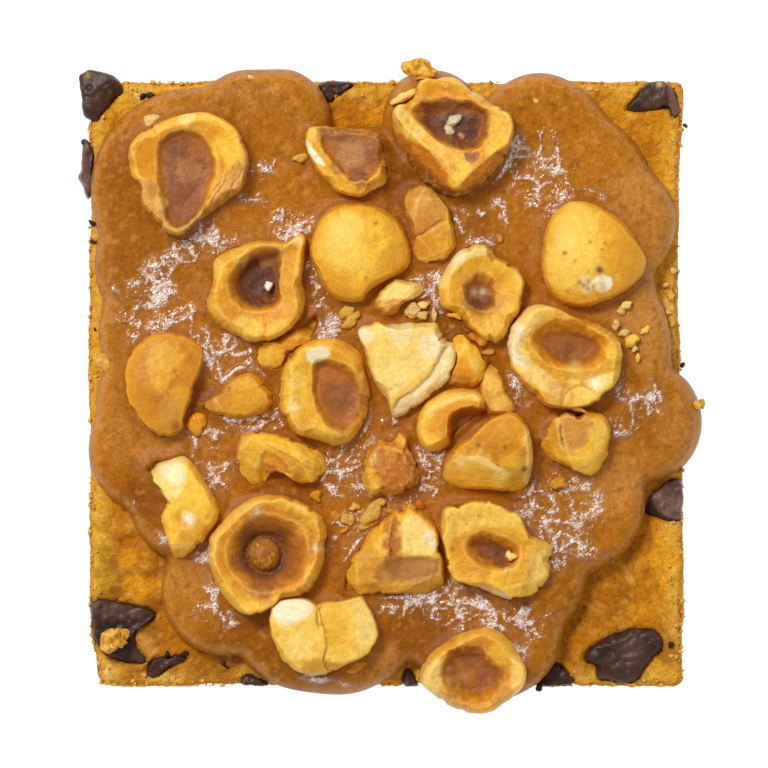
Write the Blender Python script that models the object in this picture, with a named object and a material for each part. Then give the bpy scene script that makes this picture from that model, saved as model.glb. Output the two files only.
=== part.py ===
"""Hazelnut praline brookie.

A square bar with a dark brownie layer below and a golden cookie layer above.
A lobed praline sauce covers the top and carries roasted hazelnut pieces.
Chocolate chunks sit in the corners and along the edges of the cookie layer.

Lengths are in millimetres until a mesh is made, which is in metres.
Plan positions are columns and rows of a grid that looks down on the bar,
with columns to the right and rows towards the front.
"""

import math
import random

import bpy
import numpy as np

# Plan grid
GRID_PER_MM = 7.92
MIDDLE_COLUMN = 393.5
MIDDLE_ROW = 386.5
MM = 0.001

# Layers from the table up
BROWNIE_HEIGHT = 12.0
COOKIE_HEIGHT = 13.5
LAYER_GAP = 0.3
SAUCE_HEIGHT = 3.8
COOKIE_FLOOR = BROWNIE_HEIGHT + LAYER_GAP
COOKIE_TOP = COOKIE_FLOOR + COOKIE_HEIGHT
SAUCE_FLOOR = COOKIE_TOP + LAYER_GAP
SAUCE_TOP = SAUCE_FLOOR + SAUCE_HEIGHT

# Bar outline on the grid
BAR_LEFT = 88.0
BAR_RIGHT = 684.5
BAR_BACK = 80.5
BAR_FRONT = 687.0
BAR_CORNER = 1.6
BAR_EDGE_ROUND = 0.9
CRUMB_UNEVEN = 0.22

# Fit between pieces
FIT_GAP = 0.3
NUT_FLOOR = SAUCE_FLOOR + 0.9
OUTLINE_STEPS = 72
OUTLINE_FLAT = 0.14
SHARP_ANGLE = math.radians(50)
SAUCE_SIDES = 104
BAR_SIDE_POINTS = 9

# Colours as red, green, blue from 0 to 1
BROWNIE_COLOUR = (0.062, 0.026, 0.014)
COOKIE_COLOUR = (0.54, 0.26, 0.055)
SAUCE_COLOUR = (0.39, 0.16, 0.03)
CHOCOLATE_COLOUR = (0.085, 0.04, 0.03)
NUT_COLOUR = (0.86, 0.56, 0.17)
PALE_NUT_COLOUR = (0.94, 0.72, 0.34)
DARK_NUT_COLOUR = (0.55, 0.26, 0.06)

# Sauce lobes, each a disc: column, row, radius
SAUCE_MIDDLE = (372.0, 392.0)
SAUCE_LOBES = (
    (385, 385, 235),
    (192, 190, 102),
    (165, 265, 71),
    (250, 140, 69),
    (283, 118, 47),
    (360, 180, 55),
    (432, 120, 49),
    (540, 145, 71),
    (575, 185, 74),
    (612, 222, 64),
    (600, 290, 55),
    (560, 350, 112),
    (641, 422, 60),
    (570, 500, 76),
    (510, 570, 78),
    (497, 632, 66),
    (450, 600, 50),
    (340, 632, 61),
    (305, 615, 76),
    (225, 592, 64),
    (190, 500, 62),
    (150, 450, 62),
    (160, 400, 64),
)
# Sauce that hangs over the sides: column, row, reach of the drip on the grid, drop in millimetres
SAUCE_DRIPS = (
    (262, 75, 42, 4.5),
    (432, 75, 42, 5.5),
    (540, 78, 34, 2.5),
    (700, 425, 48, 7.0),
    (345, 690, 48, 3.5),
    (480, 696, 40, 4.0),
)


def piece(name, kind, at, half, top, turn=0, cuts=(), nicks=(), **more):
    """Describe one star-shaped piece by its plan outline and its top.

    at is its middle and half its two half sizes on the grid, and turn is in degrees.
    A cut is an angle and a distance, beyond which a straight line takes the outline off.
    A nick is an angle, a depth and a half width in degrees.  A negative depth is a bulge.
    top is the height of its highest level above the table in millimetres.
    """
    described = {"name": name, "kind": kind, "at": at, "half": half, "top": top}
    described.update(turn=turn, cuts=cuts, nicks=nicks)
    described.update(hollow=None, facets=(), grooves=(), lean=(0, 0), slope=(0, 0), colour=NUT_COLOUR)
    described.update(more)
    return described


def hollow(at, half, depth, turn=0, cuts=(), ball=0.0):
    """Describe the cavity of a nut half, with the height of a ball left in its middle."""
    return {"at": at, "half": half, "depth": depth, "turn": turn, "cuts": cuts, "nicks": (), "ball": ball}


# Roasted hazelnut pieces
HAZELNUTS = (
    piece("hazelnut_01", "cup", (190, 170), (61, 60), 33.2, cuts=((211, 50), (-56, 50)),
          nicks=((197, 3, 8),), hollow=hollow((187, 180), (33, 49), 3.0), slope=(0, 0.008)),
    piece("hazelnut_02", "cup", (348, 161), (60, 60), 32.6,
          cuts=((93, 33), (15, 38), (-16, 42), (-77, 38), (230, 22), (168, 45), (208, 30)),
          hollow=hollow((353, 155), (29, 23), 1.6), slope=(0.01, -0.004)),
    piece("hazelnut_03", "cup", (455, 140), (60, 62), 35.2,
          cuts=((56, 47), (214, 45), (-45, 55), (0, 58), (165, 60)), nicks=((118, -4, 10),),
          hollow=hollow((449, 121), (33, 25), 3.4, turn=-15), lean=(1, 8)),
    piece("hazelnut_04", "dome", (361, 253), (51, 52), 34.3, cuts=((-55, 43), (-90, 50))),
    piece("hazelnut_05", "chunk", (431, 228), (41, 26), 32.4, turn=108, nicks=((205, 5, 15),),
          grooves=((434, 243, 20, 0.5, 6),), colour=DARK_NUT_COLOUR),
    piece("hazelnut_06", "dome", (592, 254), (56, 55), 34.6, cuts=((38, 50),)),
    piece("hazelnut_07", "cup", (258, 292), (50, 51), 33.6, cuts=((0, 47), (100, 50), (130, 50)),
          nicks=((178, 7, 10), (50, -11, 7)), hollow=hollow((261, 288), (28, 27), 3.2)),
    piece("hazelnut_08", "cup", (482, 290), (47, 49), 33.0, cuts=((232.6, 37), (-24, 39)),
          hollow=hollow((483, 291), (21, 24), 1.9)),
    piece("hazelnut_09", "cup", (564, 357), (60, 60), 33.8, cuts=((70, 40), (214, 45), (-90, 50), (-55, 53)),
          hollow=hollow((566, 347), (30, 20), 2.6, turn=-6), slope=(0, 0.012)),
    piece("hazelnut_10", "chunk", (400, 300), (27, 16), 32.0, turn=26, colour=PALE_NUT_COLOUR),
    piece("hazelnut_11", "chunk", (405, 365), (80, 80), 33.0,
          cuts=((90, 44), (39, 48), (-33, 39), (-55, 38), (200, 34), (141, 57)),
          facets=((-45, 18, 0.06), (150, 22, 0.03)), slope=(0.006, 0.010), colour=PALE_NUT_COLOUR),
    piece("hazelnut_12", "dome", (167, 386), (43, 54), 33.6, cuts=((-14.5, 28),), facets=((-14, 10, 0.05),)),
    piece("hazelnut_13", "chunk", (240, 398), (38, 27), 32.0, cuts=((-92, 22), (132, 20), (41, 29)),
          colour=DARK_NUT_COLOUR),
    piece("hazelnut_14", "chunk", (288, 343), (45, 22), 31.4, turn=35,
          cuts=((212, 33), (-45, 14), (4, 36), (122, 14), (-90, 29))),
    piece("hazelnut_15", "cup", (325, 391), (45.5, 53.5), 33.8, turn=-5,
          hollow=hollow((342, 393), (28, 34), 2.2, cuts=((180, 29),)), slope=(-0.012, 0)),
    piece("hazelnut_16", "chunk", (450, 414), (40, 31), 32.6, turn=30, nicks=((-60, 14, 30),),
          grooves=((458, 426, -30, 0.7, 7),)),
    piece("hazelnut_17", "chunk", (466, 362), (40, 40), 31.6,
          cuts=((33, 14), (-11, 19), (-45, 22), (-90, 24), (147, 7), (90, 25)), colour=DARK_NUT_COLOUR),
    piece("hazelnut_18", "chunk", (501, 393), (40, 40), 31.2,
          cuts=((24, 10), (-40, 21), (-100, 20), (180, 10), (90, 34)), colour=PALE_NUT_COLOUR),
    piece("hazelnut_19", "dome", (489, 456), (53, 50), 35.0, cuts=((121, 31), (-98, 34), (0, 45)),
          facets=((-105, 2, 0.085),), colour=DARK_NUT_COLOUR),
    piece("hazelnut_20", "chunk", (578, 442), (45, 40), 33.2,
          cuts=((92, 31), (-8, 34), (-40, 38), (-112, 28), (180, 43), (135, 36)),
          facets=((200, 16, 0.06), (-30, 16, 0.035))),
    piece("hazelnut_21", "chunk", (280, 457), (54, 26), 33.2, turn=-20, cuts=((66, 21),),
          nicks=((-76, 13, 20), (-128, -13, 20)), facets=((70, 4, 0.05), (-110, 2, 0.05))),
    piece("hazelnut_22", "chunk", (391, 467), (32, 31), 33.0, nicks=((65, -8, 10),), colour=DARK_NUT_COLOUR),
    piece("hazelnut_23", "chunk", (184, 503), (57, 36), 33.4, turn=110, cuts=((28, 31),),
          nicks=((186, 22, 22), (144, -9, 9)), facets=((150, 18, 0.03), (-40, 10, 0.035)),
          colour=PALE_NUT_COLOUR),
    piece("hazelnut_24", "cup", (268, 554), (61, 60), 33.8, cuts=((-42, 53), (140, 58)),
          hollow=hollow((266, 553), (41, 39), 4.3, ball=2.6)),
    piece("hazelnut_25", "chunk", (398, 555), (80, 60), 33.6,
          cuts=((-90, 38), (147, 33), (103, 46), (26, 41), (0, 46)),
          facets=((147, 6, 0.04), (-90, 6, 0.07)), grooves=((392, 548, 96, 0.8, 9),)),
    piece("hazelnut_26", "cup", (494, 551), (62, 46), 33.4, turn=-38, cuts=((180, 53),),
          nicks=((25, 10, 13),), hollow=hollow((494, 550), (26, 18), 2.3, turn=-20)),
    piece("hazelnut_27", "chunk", (324, 634), (55, 42), 33.8, turn=5, cuts=((84, 34),),
          nicks=((-94, 12, 13),), facets=((0, 30, 0.02),), grooves=((318, 634, 94, 0.9, 5),),
          colour=PALE_NUT_COLOUR),
    piece("hazelnut_28", "cup", (473, 671), (53, 43), 33.2, cuts=((-145, 41), (135, 43)),
          hollow=hollow((474, 668), (32, 23), 1.8, turn=-20), slope=(0, 0.006)),
)

# Where two hazelnut pieces lie over each other: the lower one, then the upper one
LAPPED = (
    ("hazelnut_14", "hazelnut_07"),
    ("hazelnut_14", "hazelnut_15"),
    ("hazelnut_05", "hazelnut_04"),
    ("hazelnut_05", "hazelnut_03"),
    ("hazelnut_05", "hazelnut_08"),
    ("hazelnut_10", "hazelnut_04"),
    ("hazelnut_10", "hazelnut_11"),
    ("hazelnut_17", "hazelnut_11"),
    ("hazelnut_17", "hazelnut_16"),
    ("hazelnut_16", "hazelnut_11"),
    ("hazelnut_16", "hazelnut_19"),
    ("hazelnut_18", "hazelnut_19"),
    ("hazelnut_20", "hazelnut_19"),
    ("hazelnut_20", "hazelnut_09"),
    ("hazelnut_21", "hazelnut_15"),
    ("hazelnut_26", "hazelnut_25"),
    ("hazelnut_23", "hazelnut_24"),
    ("hazelnut_24", "hazelnut_27"),
    ("hazelnut_25", "hazelnut_24"),
    ("hazelnut_13", "hazelnut_15"),
    ("hazelnut_12", "hazelnut_13"),
    ("hazelnut_23", "hazelnut_12"),
)

# Chocolate chunks in the cookie layer
CHOCOLATE = (
    piece("chocolate_01", "chunk", (99, 94), (24, 24), COOKIE_TOP + 1.1,
          cuts=((150, 24), (90, 24), (-60, 20), (-150, 18)), depth=6.5),
    piece("chocolate_02", "chunk", (85, 172), (7, 31), COOKIE_TOP - 0.1, turn=-3, depth=7.0),
    piece("chocolate_03", "chunk", (336, 90), (22, 16), COOKIE_TOP + 0.4,
          cuts=((90, 9), (-40, 11), (-140, 14)), depth=4.5),
    piece("chocolate_04", "chunk", (659, 98), (34, 24), COOKIE_TOP + 0.9,
          cuts=((90, 16), (-90, 13), (30, 22), (140, 22), (0, 23)), depth=5.5),
    piece("chocolate_05", "chunk", (669, 501), (28, 26), COOKIE_TOP - 0.1,
          cuts=((0, 15), (-90, 20), (90, 23), (135, 20)), depth=4.5),
    piece("chocolate_06", "chunk", (625, 656), (41, 28), COOKIE_TOP + 1.2, turn=15, cuts=((-90, 27),), depth=4.5),
    piece("chocolate_07", "chunk", (558, 679), (24, 18), COOKIE_TOP + 0.3,
          cuts=((-90, 11), (45, 12), (130, 14)), depth=5.0),
    piece("chocolate_08", "chunk", (409, 680), (10, 14), COOKIE_TOP - 0.1, cuts=((-90, 7),), depth=4.0),
    piece("chocolate_09", "chunk", (121, 634), (37, 34), COOKIE_TOP + 0.7,
          cuts=((180, 31), (90, 33)), nicks=((-12, 12, 22),), depth=6.0),
    piece("chocolate_10", "chunk", (163, 669), (17, 11), COOKIE_TOP + 0.3, turn=12, depth=3.0),
    piece("chocolate_11", "chunk", (250, 682), (17, 9), COOKIE_TOP - 0.1, cuts=((-90, 6),), depth=3.5),
)

# Loose bits of cookie
CRUMBS = (
    piece("cookie_crumb_01", "chunk", (421, 69), (18, 10), SAUCE_TOP + 0.9, floor=SAUCE_TOP - 1.3),
    piece("cookie_crumb_02", "chunk", (116, 643), (15, 13), COOKIE_TOP + 3.2, floor=COOKIE_TOP + 1.0),
    piece("cookie_crumb_03", "chunk", (702, 404), (7, 6), SAUCE_TOP - 1.2, floor=SAUCE_TOP - 2.8),
)


def to_plan(column, row):
    """Turn a grid position into millimetres from the middle of the bar."""
    return (column - MIDDLE_COLUMN) / GRID_PER_MM, (MIDDLE_ROW - row) / GRID_PER_MM


def reach(shape, angles):
    """Distance in millimetres from the middle of a shape to its outline at each angle."""
    along, across = shape["half"]
    turned = angles - math.radians(shape["turn"])
    distance = 1 / np.sqrt((np.cos(turned) / along) ** 2 + (np.sin(turned) / across) ** 2)
    for angle, limit in shape["cuts"]:
        facing = np.cos(angles - math.radians(angle))
        distance = np.where(facing > 0.02, np.minimum(distance, limit / np.maximum(facing, 0.02)), distance)
    for angle, depth, half_width in shape["nicks"]:
        away = (np.degrees(angles) - angle + 180) % 360 - 180
        distance = distance - depth * np.exp(-((away / half_width) ** 2))
    return distance / GRID_PER_MM


def corner_angles(shape):
    """The angles at which a shape's outline needs a point, found by halving until each side is flat enough."""
    angles = np.arange(OUTLINE_STEPS) * math.tau / OUTLINE_STEPS
    distance = reach(shape, angles)
    points = np.stack([distance * np.cos(angles), distance * np.sin(angles)], axis=1)
    points = np.concatenate([points, points[:1]])
    start = int(np.argmax(distance))
    order = [(start + step) % OUTLINE_STEPS for step in range(OUTLINE_STEPS)] + [start]
    kept = {0, OUTLINE_STEPS}
    spans = [(0, OUTLINE_STEPS // 2), (OUTLINE_STEPS // 2, OUTLINE_STEPS)]
    while spans:
        first, last = spans.pop()
        kept.update((first, last))
        begin = points[order[first]]
        along = points[order[last]] - begin
        length = max(float(np.hypot(*along)), 1e-6)
        between = points[[order[step] for step in range(first, last + 1)]] - begin
        away = np.abs(between[:, 0] * along[1] - between[:, 1] * along[0]) / length
        furthest = int(np.argmax(away))
        if away[furthest] > OUTLINE_FLAT and last - first > 1:
            spans += [(first, first + furthest), (first + furthest, last)]
    return np.sort(angles[[order[step] for step in sorted(kept)[:-1]]])


def ring(shape, angles, share, height, grow=0.0):
    """One closed loop at a share of the outline's reach, at one height or one height per point."""
    middle_x, middle_y = to_plan(*shape["at"])
    distance = reach(shape, angles) * share + grow
    x = middle_x + distance * np.cos(angles)
    y = middle_y + distance * np.sin(angles)
    z = np.broadcast_to(height, x.shape)
    return np.stack([x, y, z], axis=1)


def level(nut, x, y):
    """Height of a piece's top before its edge is rounded, from its facets, grooves and slope."""
    middle_x, middle_y = to_plan(*nut["at"])
    along = (x - middle_x) * GRID_PER_MM
    up = (y - middle_y) * GRID_PER_MM
    height = np.full(np.shape(x), nut["top"], dtype=float)
    height = height + nut["slope"][0] * along + nut["slope"][1] * up
    for angle, start, fall in nut["facets"]:
        away = along * math.cos(math.radians(angle)) + up * math.sin(math.radians(angle))
        height = height - fall * np.maximum(away - start, 0)
    for column, row, angle, depth, half_width in nut["grooves"]:
        groove_x, groove_y = to_plan(column, row)
        across_x = (x - groove_x) * math.sin(math.radians(angle))
        across_y = (y - groove_y) * math.cos(math.radians(angle))
        across = (across_x - across_y) * GRID_PER_MM / half_width
        height = height - depth * np.exp(-(across**2))
    return height


def make_mesh(name, rings, bottom, top, colour, roughness):
    """Close a stack of loops, from the lowest to the last, with a point at each end."""
    sides = len(rings[0])
    points = np.concatenate([[bottom], *rings, [top]]) * MM
    faces = []
    for side in range(sides):
        following = (side + 1) % sides
        faces.append((0, 1 + following, 1 + side))
        for step in range(len(rings) - 1):
            low = 1 + step * sides
            high = low + sides
            faces.append((low + side, low + following, high + following, high + side))
        last = 1 + (len(rings) - 1) * sides
        faces.append((last + side, last + following, len(points) - 1))
    centre = points.mean(axis=0)
    mesh = bpy.data.meshes.new(name)
    mesh.from_pydata([tuple(point) for point in points - centre], [], faces)
    mesh.shade_smooth()
    mesh.set_sharp_from_angle(angle=SHARP_ANGLE)
    made = bpy.data.objects.new(name, mesh)
    made.location = centre
    bpy.context.scene.collection.objects.link(made)
    if colour is not None:
        mesh.materials.append(make_material(name, colour, roughness))
    return made


def make_material(name, colour, roughness):
    """A Principled material with one colour and one roughness."""
    material = bpy.data.materials.new(name)
    material.use_nodes = True
    shader = material.node_tree.nodes["Principled BSDF"]
    shader.inputs["Base Color"].default_value = (*colour, 1.0)
    shader.inputs["Roughness"].default_value = roughness
    shader.inputs["Metallic"].default_value = 0.0
    return material


def make_pocket(shape, floor, name):
    """The room a piece takes in what it sits in, with the fit gap round it and open upwards."""
    angles = corner_angles(shape)
    middle_x, middle_y = to_plan(*shape["at"])
    rings = [ring(shape, angles, 1.0, floor - FIT_GAP, FIT_GAP), ring(shape, angles, 1.0, 42.0, FIT_GAP)]
    bottom = (middle_x, middle_y, floor - FIT_GAP)
    pocket = make_mesh(name, rings, bottom, (middle_x, middle_y, 42.0), None, 0)
    pocket.hide_render = True
    pocket.display_type = "WIRE"
    return pocket


def carve(target, pockets):
    """Take a group of pockets out of an object with one Boolean."""
    group = bpy.data.collections.new(target.name + "_pockets")
    bpy.context.scene.collection.children.link(group)
    for pocket in pockets:
        group.objects.link(pocket)
        bpy.context.scene.collection.objects.unlink(pocket)
    cut = target.modifiers.new("Pockets", "BOOLEAN")
    cut.operation = "DIFFERENCE"
    cut.solver = "EXACT"
    cut.operand_type = "COLLECTION"
    cut.collection = group


def make_hazelnut(nut):
    """One hazelnut piece: a cup with its cavity up, a dome with its back up, or a broken chunk."""
    angles = corner_angles(nut)
    middle_x, middle_y = to_plan(*nut["at"])
    waist = NUT_FLOOR + 2.0
    lean_x, lean_y = (part / GRID_PER_MM for part in nut["lean"])
    rings = [
        ring(nut, angles, 0.86, NUT_FLOOR),
        ring(nut, angles, 1.0, waist),
    ]

    def crown(share, part):
        """A loop of the top at a share of the reach, with a part of the full rise above the waist."""
        loop = ring(nut, angles, share, 0.0)
        loop[:, 0] += lean_x
        loop[:, 1] += lean_y
        loop[:, 2] = waist + (level(nut, loop[:, 0], loop[:, 1]) - waist) * part
        return loop

    if nut["kind"] == "dome":
        rings += [crown(share, math.sqrt(1 - share**2)) for share in (0.93, 0.76, 0.45)]
        top = (middle_x, middle_y, float(level(nut, middle_x, middle_y)))
    elif nut["kind"] == "chunk":
        rings += [crown(0.93, 0.72), crown(0.8, 0.95), crown(0.42, 1.0)]
        top = (middle_x, middle_y, float(level(nut, middle_x, middle_y)))
    else:
        cavity = nut["hollow"]
        cavity_x, cavity_y = to_plan(*cavity["at"])
        rings += [crown(0.955, 0.7), crown(0.86, 0.98)]
        lip = ring(cavity, angles, 1.0, 0.0)
        lip[:, 2] = level(nut, lip[:, 0], lip[:, 1]) - 0.25
        deep = float(level(nut, cavity_x, cavity_y)) - cavity["depth"]
        slope = ring(cavity, angles, 0.66, 0.0)
        slope[:, 2] = lip[:, 2] * 0.35 + deep * 0.65
        rings += [lip, slope]
        if cavity["ball"]:
            rings += [ring(cavity, angles, 0.47, deep), ring(cavity, angles, 0.38, deep + cavity["ball"] * 0.7)]
            deep += cavity["ball"]
        top = (cavity_x, cavity_y, deep)
    return make_mesh(nut["name"], rings, (middle_x, middle_y, NUT_FLOOR), top, nut["colour"], 0.45)


def make_chunk(shape, floor, colour, roughness):
    """A chunk of chocolate or a crumb, flat below and softly rounded above."""
    angles = corner_angles(shape)
    middle_x, middle_y = to_plan(*shape["at"])
    top = shape["top"]
    edge = min(0.8, (top - floor) * 0.4)
    rings = [
        ring(shape, angles, 0.92, floor),
        ring(shape, angles, 1.0, top - edge),
        ring(shape, angles, 0.8, top - edge * 0.15),
    ]
    bottom = (middle_x, middle_y, floor)
    return make_mesh(shape["name"], rings, bottom, (middle_x, middle_y, top), colour, roughness)


def bar_outline(corner_cut, dent, grow=0.0):
    """Points of the bar's outline, counter-clockwise, with the front left corner taken off a little.

    dent is how far the right side is drawn in over its back half, on the grid.
    """
    left, back = to_plan(BAR_LEFT, BAR_BACK)
    right, front = to_plan(BAR_RIGHT, BAR_FRONT)
    corners = ((right, back, 0), (left, back, 90), (left, front, 180), (right, front, 270))
    points = []
    for number, (x, y, start) in enumerate(corners):
        inward_x = -math.copysign(BAR_CORNER, x)
        inward_y = -math.copysign(BAR_CORNER, y)
        for step in range(3):
            angle = math.radians(start + 45 * step)
            points.append((x + inward_x + (BAR_CORNER + grow) * math.cos(angle),
                           y + inward_y + (BAR_CORNER + grow) * math.sin(angle)))
        following = corners[(number + 1) % 4]
        end_x = following[0] - math.copysign(BAR_CORNER, following[0])
        end_y = following[1] - math.copysign(BAR_CORNER, following[1])
        begin_x = x + inward_x
        begin_y = y + inward_y
        outward = math.radians(start + 90)
        for step in range(1, BAR_SIDE_POINTS):
            share = step / BAR_SIDE_POINTS
            points.append((begin_x + (end_x - begin_x) * share + (BAR_CORNER + grow) * math.cos(outward),
                           begin_y + (end_y - begin_y) * share + (BAR_CORNER + grow) * math.sin(outward)))
    placed = []
    for x, y in points:
        if x < left + 3 and y < front + 6:
            x += corner_cut
        dented = math.exp(-(((y - 17.0) / 15.0) ** 4))
        if x > right - 3:
            x -= dent / GRID_PER_MM * dented
        placed.append((x, y))
    return np.array(placed)


def make_layer(name, floor, height, seed, corner_cut, dent, top_inset, colour):
    """One baked layer: a slab cut square, with slightly uneven sides and softened edges."""
    outline = bar_outline(corner_cut, dent)
    rng = random.Random(seed)
    lengths = np.hypot(outline[:, 0], outline[:, 1])[:, None]
    outward = outline / lengths
    rows = (
        (floor, -0.3),
        (floor + BAR_EDGE_ROUND, 0.0),
        (floor + height - BAR_EDGE_ROUND, 0.0),
        (floor + height, -top_inset),
    )
    rings = []
    for z, offset in rows:
        wobble = np.array([[rng.uniform(-CRUMB_UNEVEN, 0)] for _ in outline])
        moved = outline + outward * (offset + wobble)
        rings.append(np.column_stack([moved, np.full(len(moved), z)]))
    return make_mesh(name, rings, (0, 0, floor), (0, 0, floor + height), colour, 0.85)


def sauce_reach(angles):
    """Distance in millimetres from the sauce's middle to its lobed outline at each angle."""
    reached = np.zeros(len(angles))
    for column, row, radius in SAUCE_LOBES:
        across = column - SAUCE_MIDDLE[0]
        up = SAUCE_MIDDLE[1] - row
        along = across * np.cos(angles) + up * np.sin(angles)
        aside = across * np.sin(angles) - up * np.cos(angles)
        inside = radius**2 - aside**2
        reached = np.maximum(reached, np.where(inside > 0, along + np.sqrt(np.maximum(inside, 0)), 0))
    return reached / GRID_PER_MM


def make_sauce():
    """The praline sauce: a lobed sheet with a fat rounded edge that hangs over the sides in places."""
    angles = np.arange(SAUCE_SIDES) * math.tau / SAUCE_SIDES
    middle_x, middle_y = to_plan(*SAUCE_MIDDLE)
    reached = sauce_reach(angles)
    x = middle_x + reached * np.cos(angles)
    y = middle_y + reached * np.sin(angles)
    drop = np.zeros(SAUCE_SIDES)
    for column, row, width, depth in SAUCE_DRIPS:
        drip_x, drip_y = to_plan(column, row)
        away = np.hypot(x - drip_x, y - drip_y) * GRID_PER_MM / width
        drop = np.maximum(drop, depth * np.exp(-(away**2)))
    underside = COOKIE_TOP - 1.0 - drop

    def loop(inset, height):
        """A loop of the sauce's skin, set in from its outline."""
        inner = reached - inset
        return np.column_stack([
            middle_x + inner * np.cos(angles),
            middle_y + inner * np.sin(angles),
            np.broadcast_to(height, angles.shape),
        ])

    rings = [
        loop(3.0, underside),
        loop(0.35, underside),
        loop(0.0, np.minimum(underside + 0.8 + drop * 0.5, SAUCE_FLOOR + 0.9)),
        loop(0.25, SAUCE_FLOOR + 1.9),
        loop(1.1, SAUCE_FLOOR + 3.0),
        loop(2.8, SAUCE_TOP - 0.25),
        loop(9.0, SAUCE_TOP),
    ]
    bottom = (middle_x, middle_y, COOKIE_TOP - 1.0)
    return make_mesh("praline_sauce", rings, bottom, (middle_x, middle_y, SAUCE_TOP), SAUCE_COLOUR, 0.25)


def make_bar_room():
    """The cookie layer's room below the sauce, with the gap between the two."""
    outline = bar_outline(0.0, 0.0, LAYER_GAP + 0.05)
    rings = [np.column_stack([outline, np.full(len(outline), z)]) for z in (5.0, SAUCE_FLOOR)]
    room = make_mesh("bar_room", rings, (0, 0, 5.0), (0, 0, SAUCE_FLOOR), None, 0)
    room.hide_render = True
    room.display_type = "WIRE"
    return room


def main():
    """Clear the scene, make the layers, the sauce and the pieces, and cut the pockets between them."""
    for old in list(bpy.data.objects):
        bpy.data.objects.remove(old, do_unlink=True)

    make_layer("brownie_layer", 0.0, BROWNIE_HEIGHT, 11, 0.4, 0.0, 0.15, BROWNIE_COLOUR)
    cookie = make_layer("cookie_layer", COOKIE_FLOOR, COOKIE_HEIGHT, 23, 1.1, 5.0, 0.9, COOKIE_COLOUR)
    sauce = make_sauce()

    cookie_pockets = []
    for chunk in CHOCOLATE:
        floor = COOKIE_TOP - chunk["depth"]
        make_chunk(chunk, floor, CHOCOLATE_COLOUR, 0.35)
        cookie_pockets.append(make_pocket(chunk, floor, chunk["name"] + "_room"))
    carve(cookie, cookie_pockets)

    sauce_pockets = [make_bar_room()]
    made = {}
    described = {}
    for nut in HAZELNUTS:
        made[nut["name"]] = make_hazelnut(nut)
        described[nut["name"]] = nut
        sauce_pockets.append(make_pocket(nut, NUT_FLOOR, nut["name"] + "_room"))

    for crumb in CRUMBS:
        make_chunk(crumb, crumb["floor"], COOKIE_COLOUR, 0.85)
    for crumb in (CRUMBS[0], CRUMBS[2]):
        sauce_pockets.append(make_pocket(crumb, crumb["floor"], crumb["name"] + "_room"))
    carve(sauce, sauce_pockets)

    lapping = {}
    for lower, upper in LAPPED:
        lapping.setdefault(lower, []).append(upper)
    for lower, uppers in lapping.items():
        rooms = [make_pocket(described[upper], NUT_FLOOR, f"{upper}_over_{lower}") for upper in uppers]
        carve(made[lower], rooms)


main()
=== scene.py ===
"""Hazelnut praline brookie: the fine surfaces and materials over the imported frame.

Lengths are in millimetres until a mesh is made, which is in metres.
Plan positions are columns and rows of the grid that looks down on the bar.
"""

import math

import bpy
import numpy as np
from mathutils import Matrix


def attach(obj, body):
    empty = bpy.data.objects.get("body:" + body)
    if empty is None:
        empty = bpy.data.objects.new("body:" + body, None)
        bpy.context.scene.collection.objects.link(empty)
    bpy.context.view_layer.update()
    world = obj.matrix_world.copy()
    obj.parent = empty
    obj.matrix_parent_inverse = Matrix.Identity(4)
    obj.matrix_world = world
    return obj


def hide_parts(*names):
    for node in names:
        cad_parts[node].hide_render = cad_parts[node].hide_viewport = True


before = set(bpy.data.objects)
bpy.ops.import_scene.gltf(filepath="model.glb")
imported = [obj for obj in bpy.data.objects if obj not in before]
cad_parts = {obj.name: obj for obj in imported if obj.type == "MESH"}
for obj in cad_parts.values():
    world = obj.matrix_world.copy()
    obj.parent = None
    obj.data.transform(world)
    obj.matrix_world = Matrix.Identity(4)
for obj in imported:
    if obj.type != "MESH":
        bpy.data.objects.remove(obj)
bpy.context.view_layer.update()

# Plan grid
GRID_PER_MM = 7.92
MIDDLE_COLUMN = 393.5
MIDDLE_ROW = 386.5
MM = 0.001

# Layers from the table up
BROWNIE_HEIGHT = 12.0
COOKIE_HEIGHT = 13.5
LAYER_GAP = 0.3
SAUCE_HEIGHT = 3.8
COOKIE_FLOOR = BROWNIE_HEIGHT + LAYER_GAP
COOKIE_TOP = COOKIE_FLOOR + COOKIE_HEIGHT
SAUCE_FLOOR = COOKIE_TOP + LAYER_GAP
SAUCE_TOP = SAUCE_FLOOR + SAUCE_HEIGHT
NUT_FLOOR = SAUCE_FLOOR + 0.9
NUT_WAIST = NUT_FLOOR + 2.0

# Bar outline on the grid
BAR_LEFT = 88.0
BAR_RIGHT = 684.5
BAR_BACK = 80.5
BAR_FRONT = 687.0
BAR_CORNER = 1.1
BAR_HALF_X = 37
BAR_HALF_Y = 38
# Cut of the front left corner in millimetres and dent of the right side on the grid, by layer
COOKIE_SHAPE = (1.1, 5.0)
BROWNIE_SHAPE = (0.4, 0.0)
# Foot of the cookie and top of the brownie, which meet inside the gap
COOKIE_FOOT = BROWNIE_HEIGHT + 0.05
BROWNIE_TOP = BROWNIE_HEIGHT + 0.25


def srgb(red, green, blue):
    """A colour given from 0 to 255 as the linear values that a shader takes."""
    values = np.array([red, green, blue], dtype=float) / 255
    return np.where(values <= 0.04045, values / 12.92, ((values + 0.055) / 1.055) ** 2.4)


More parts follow.
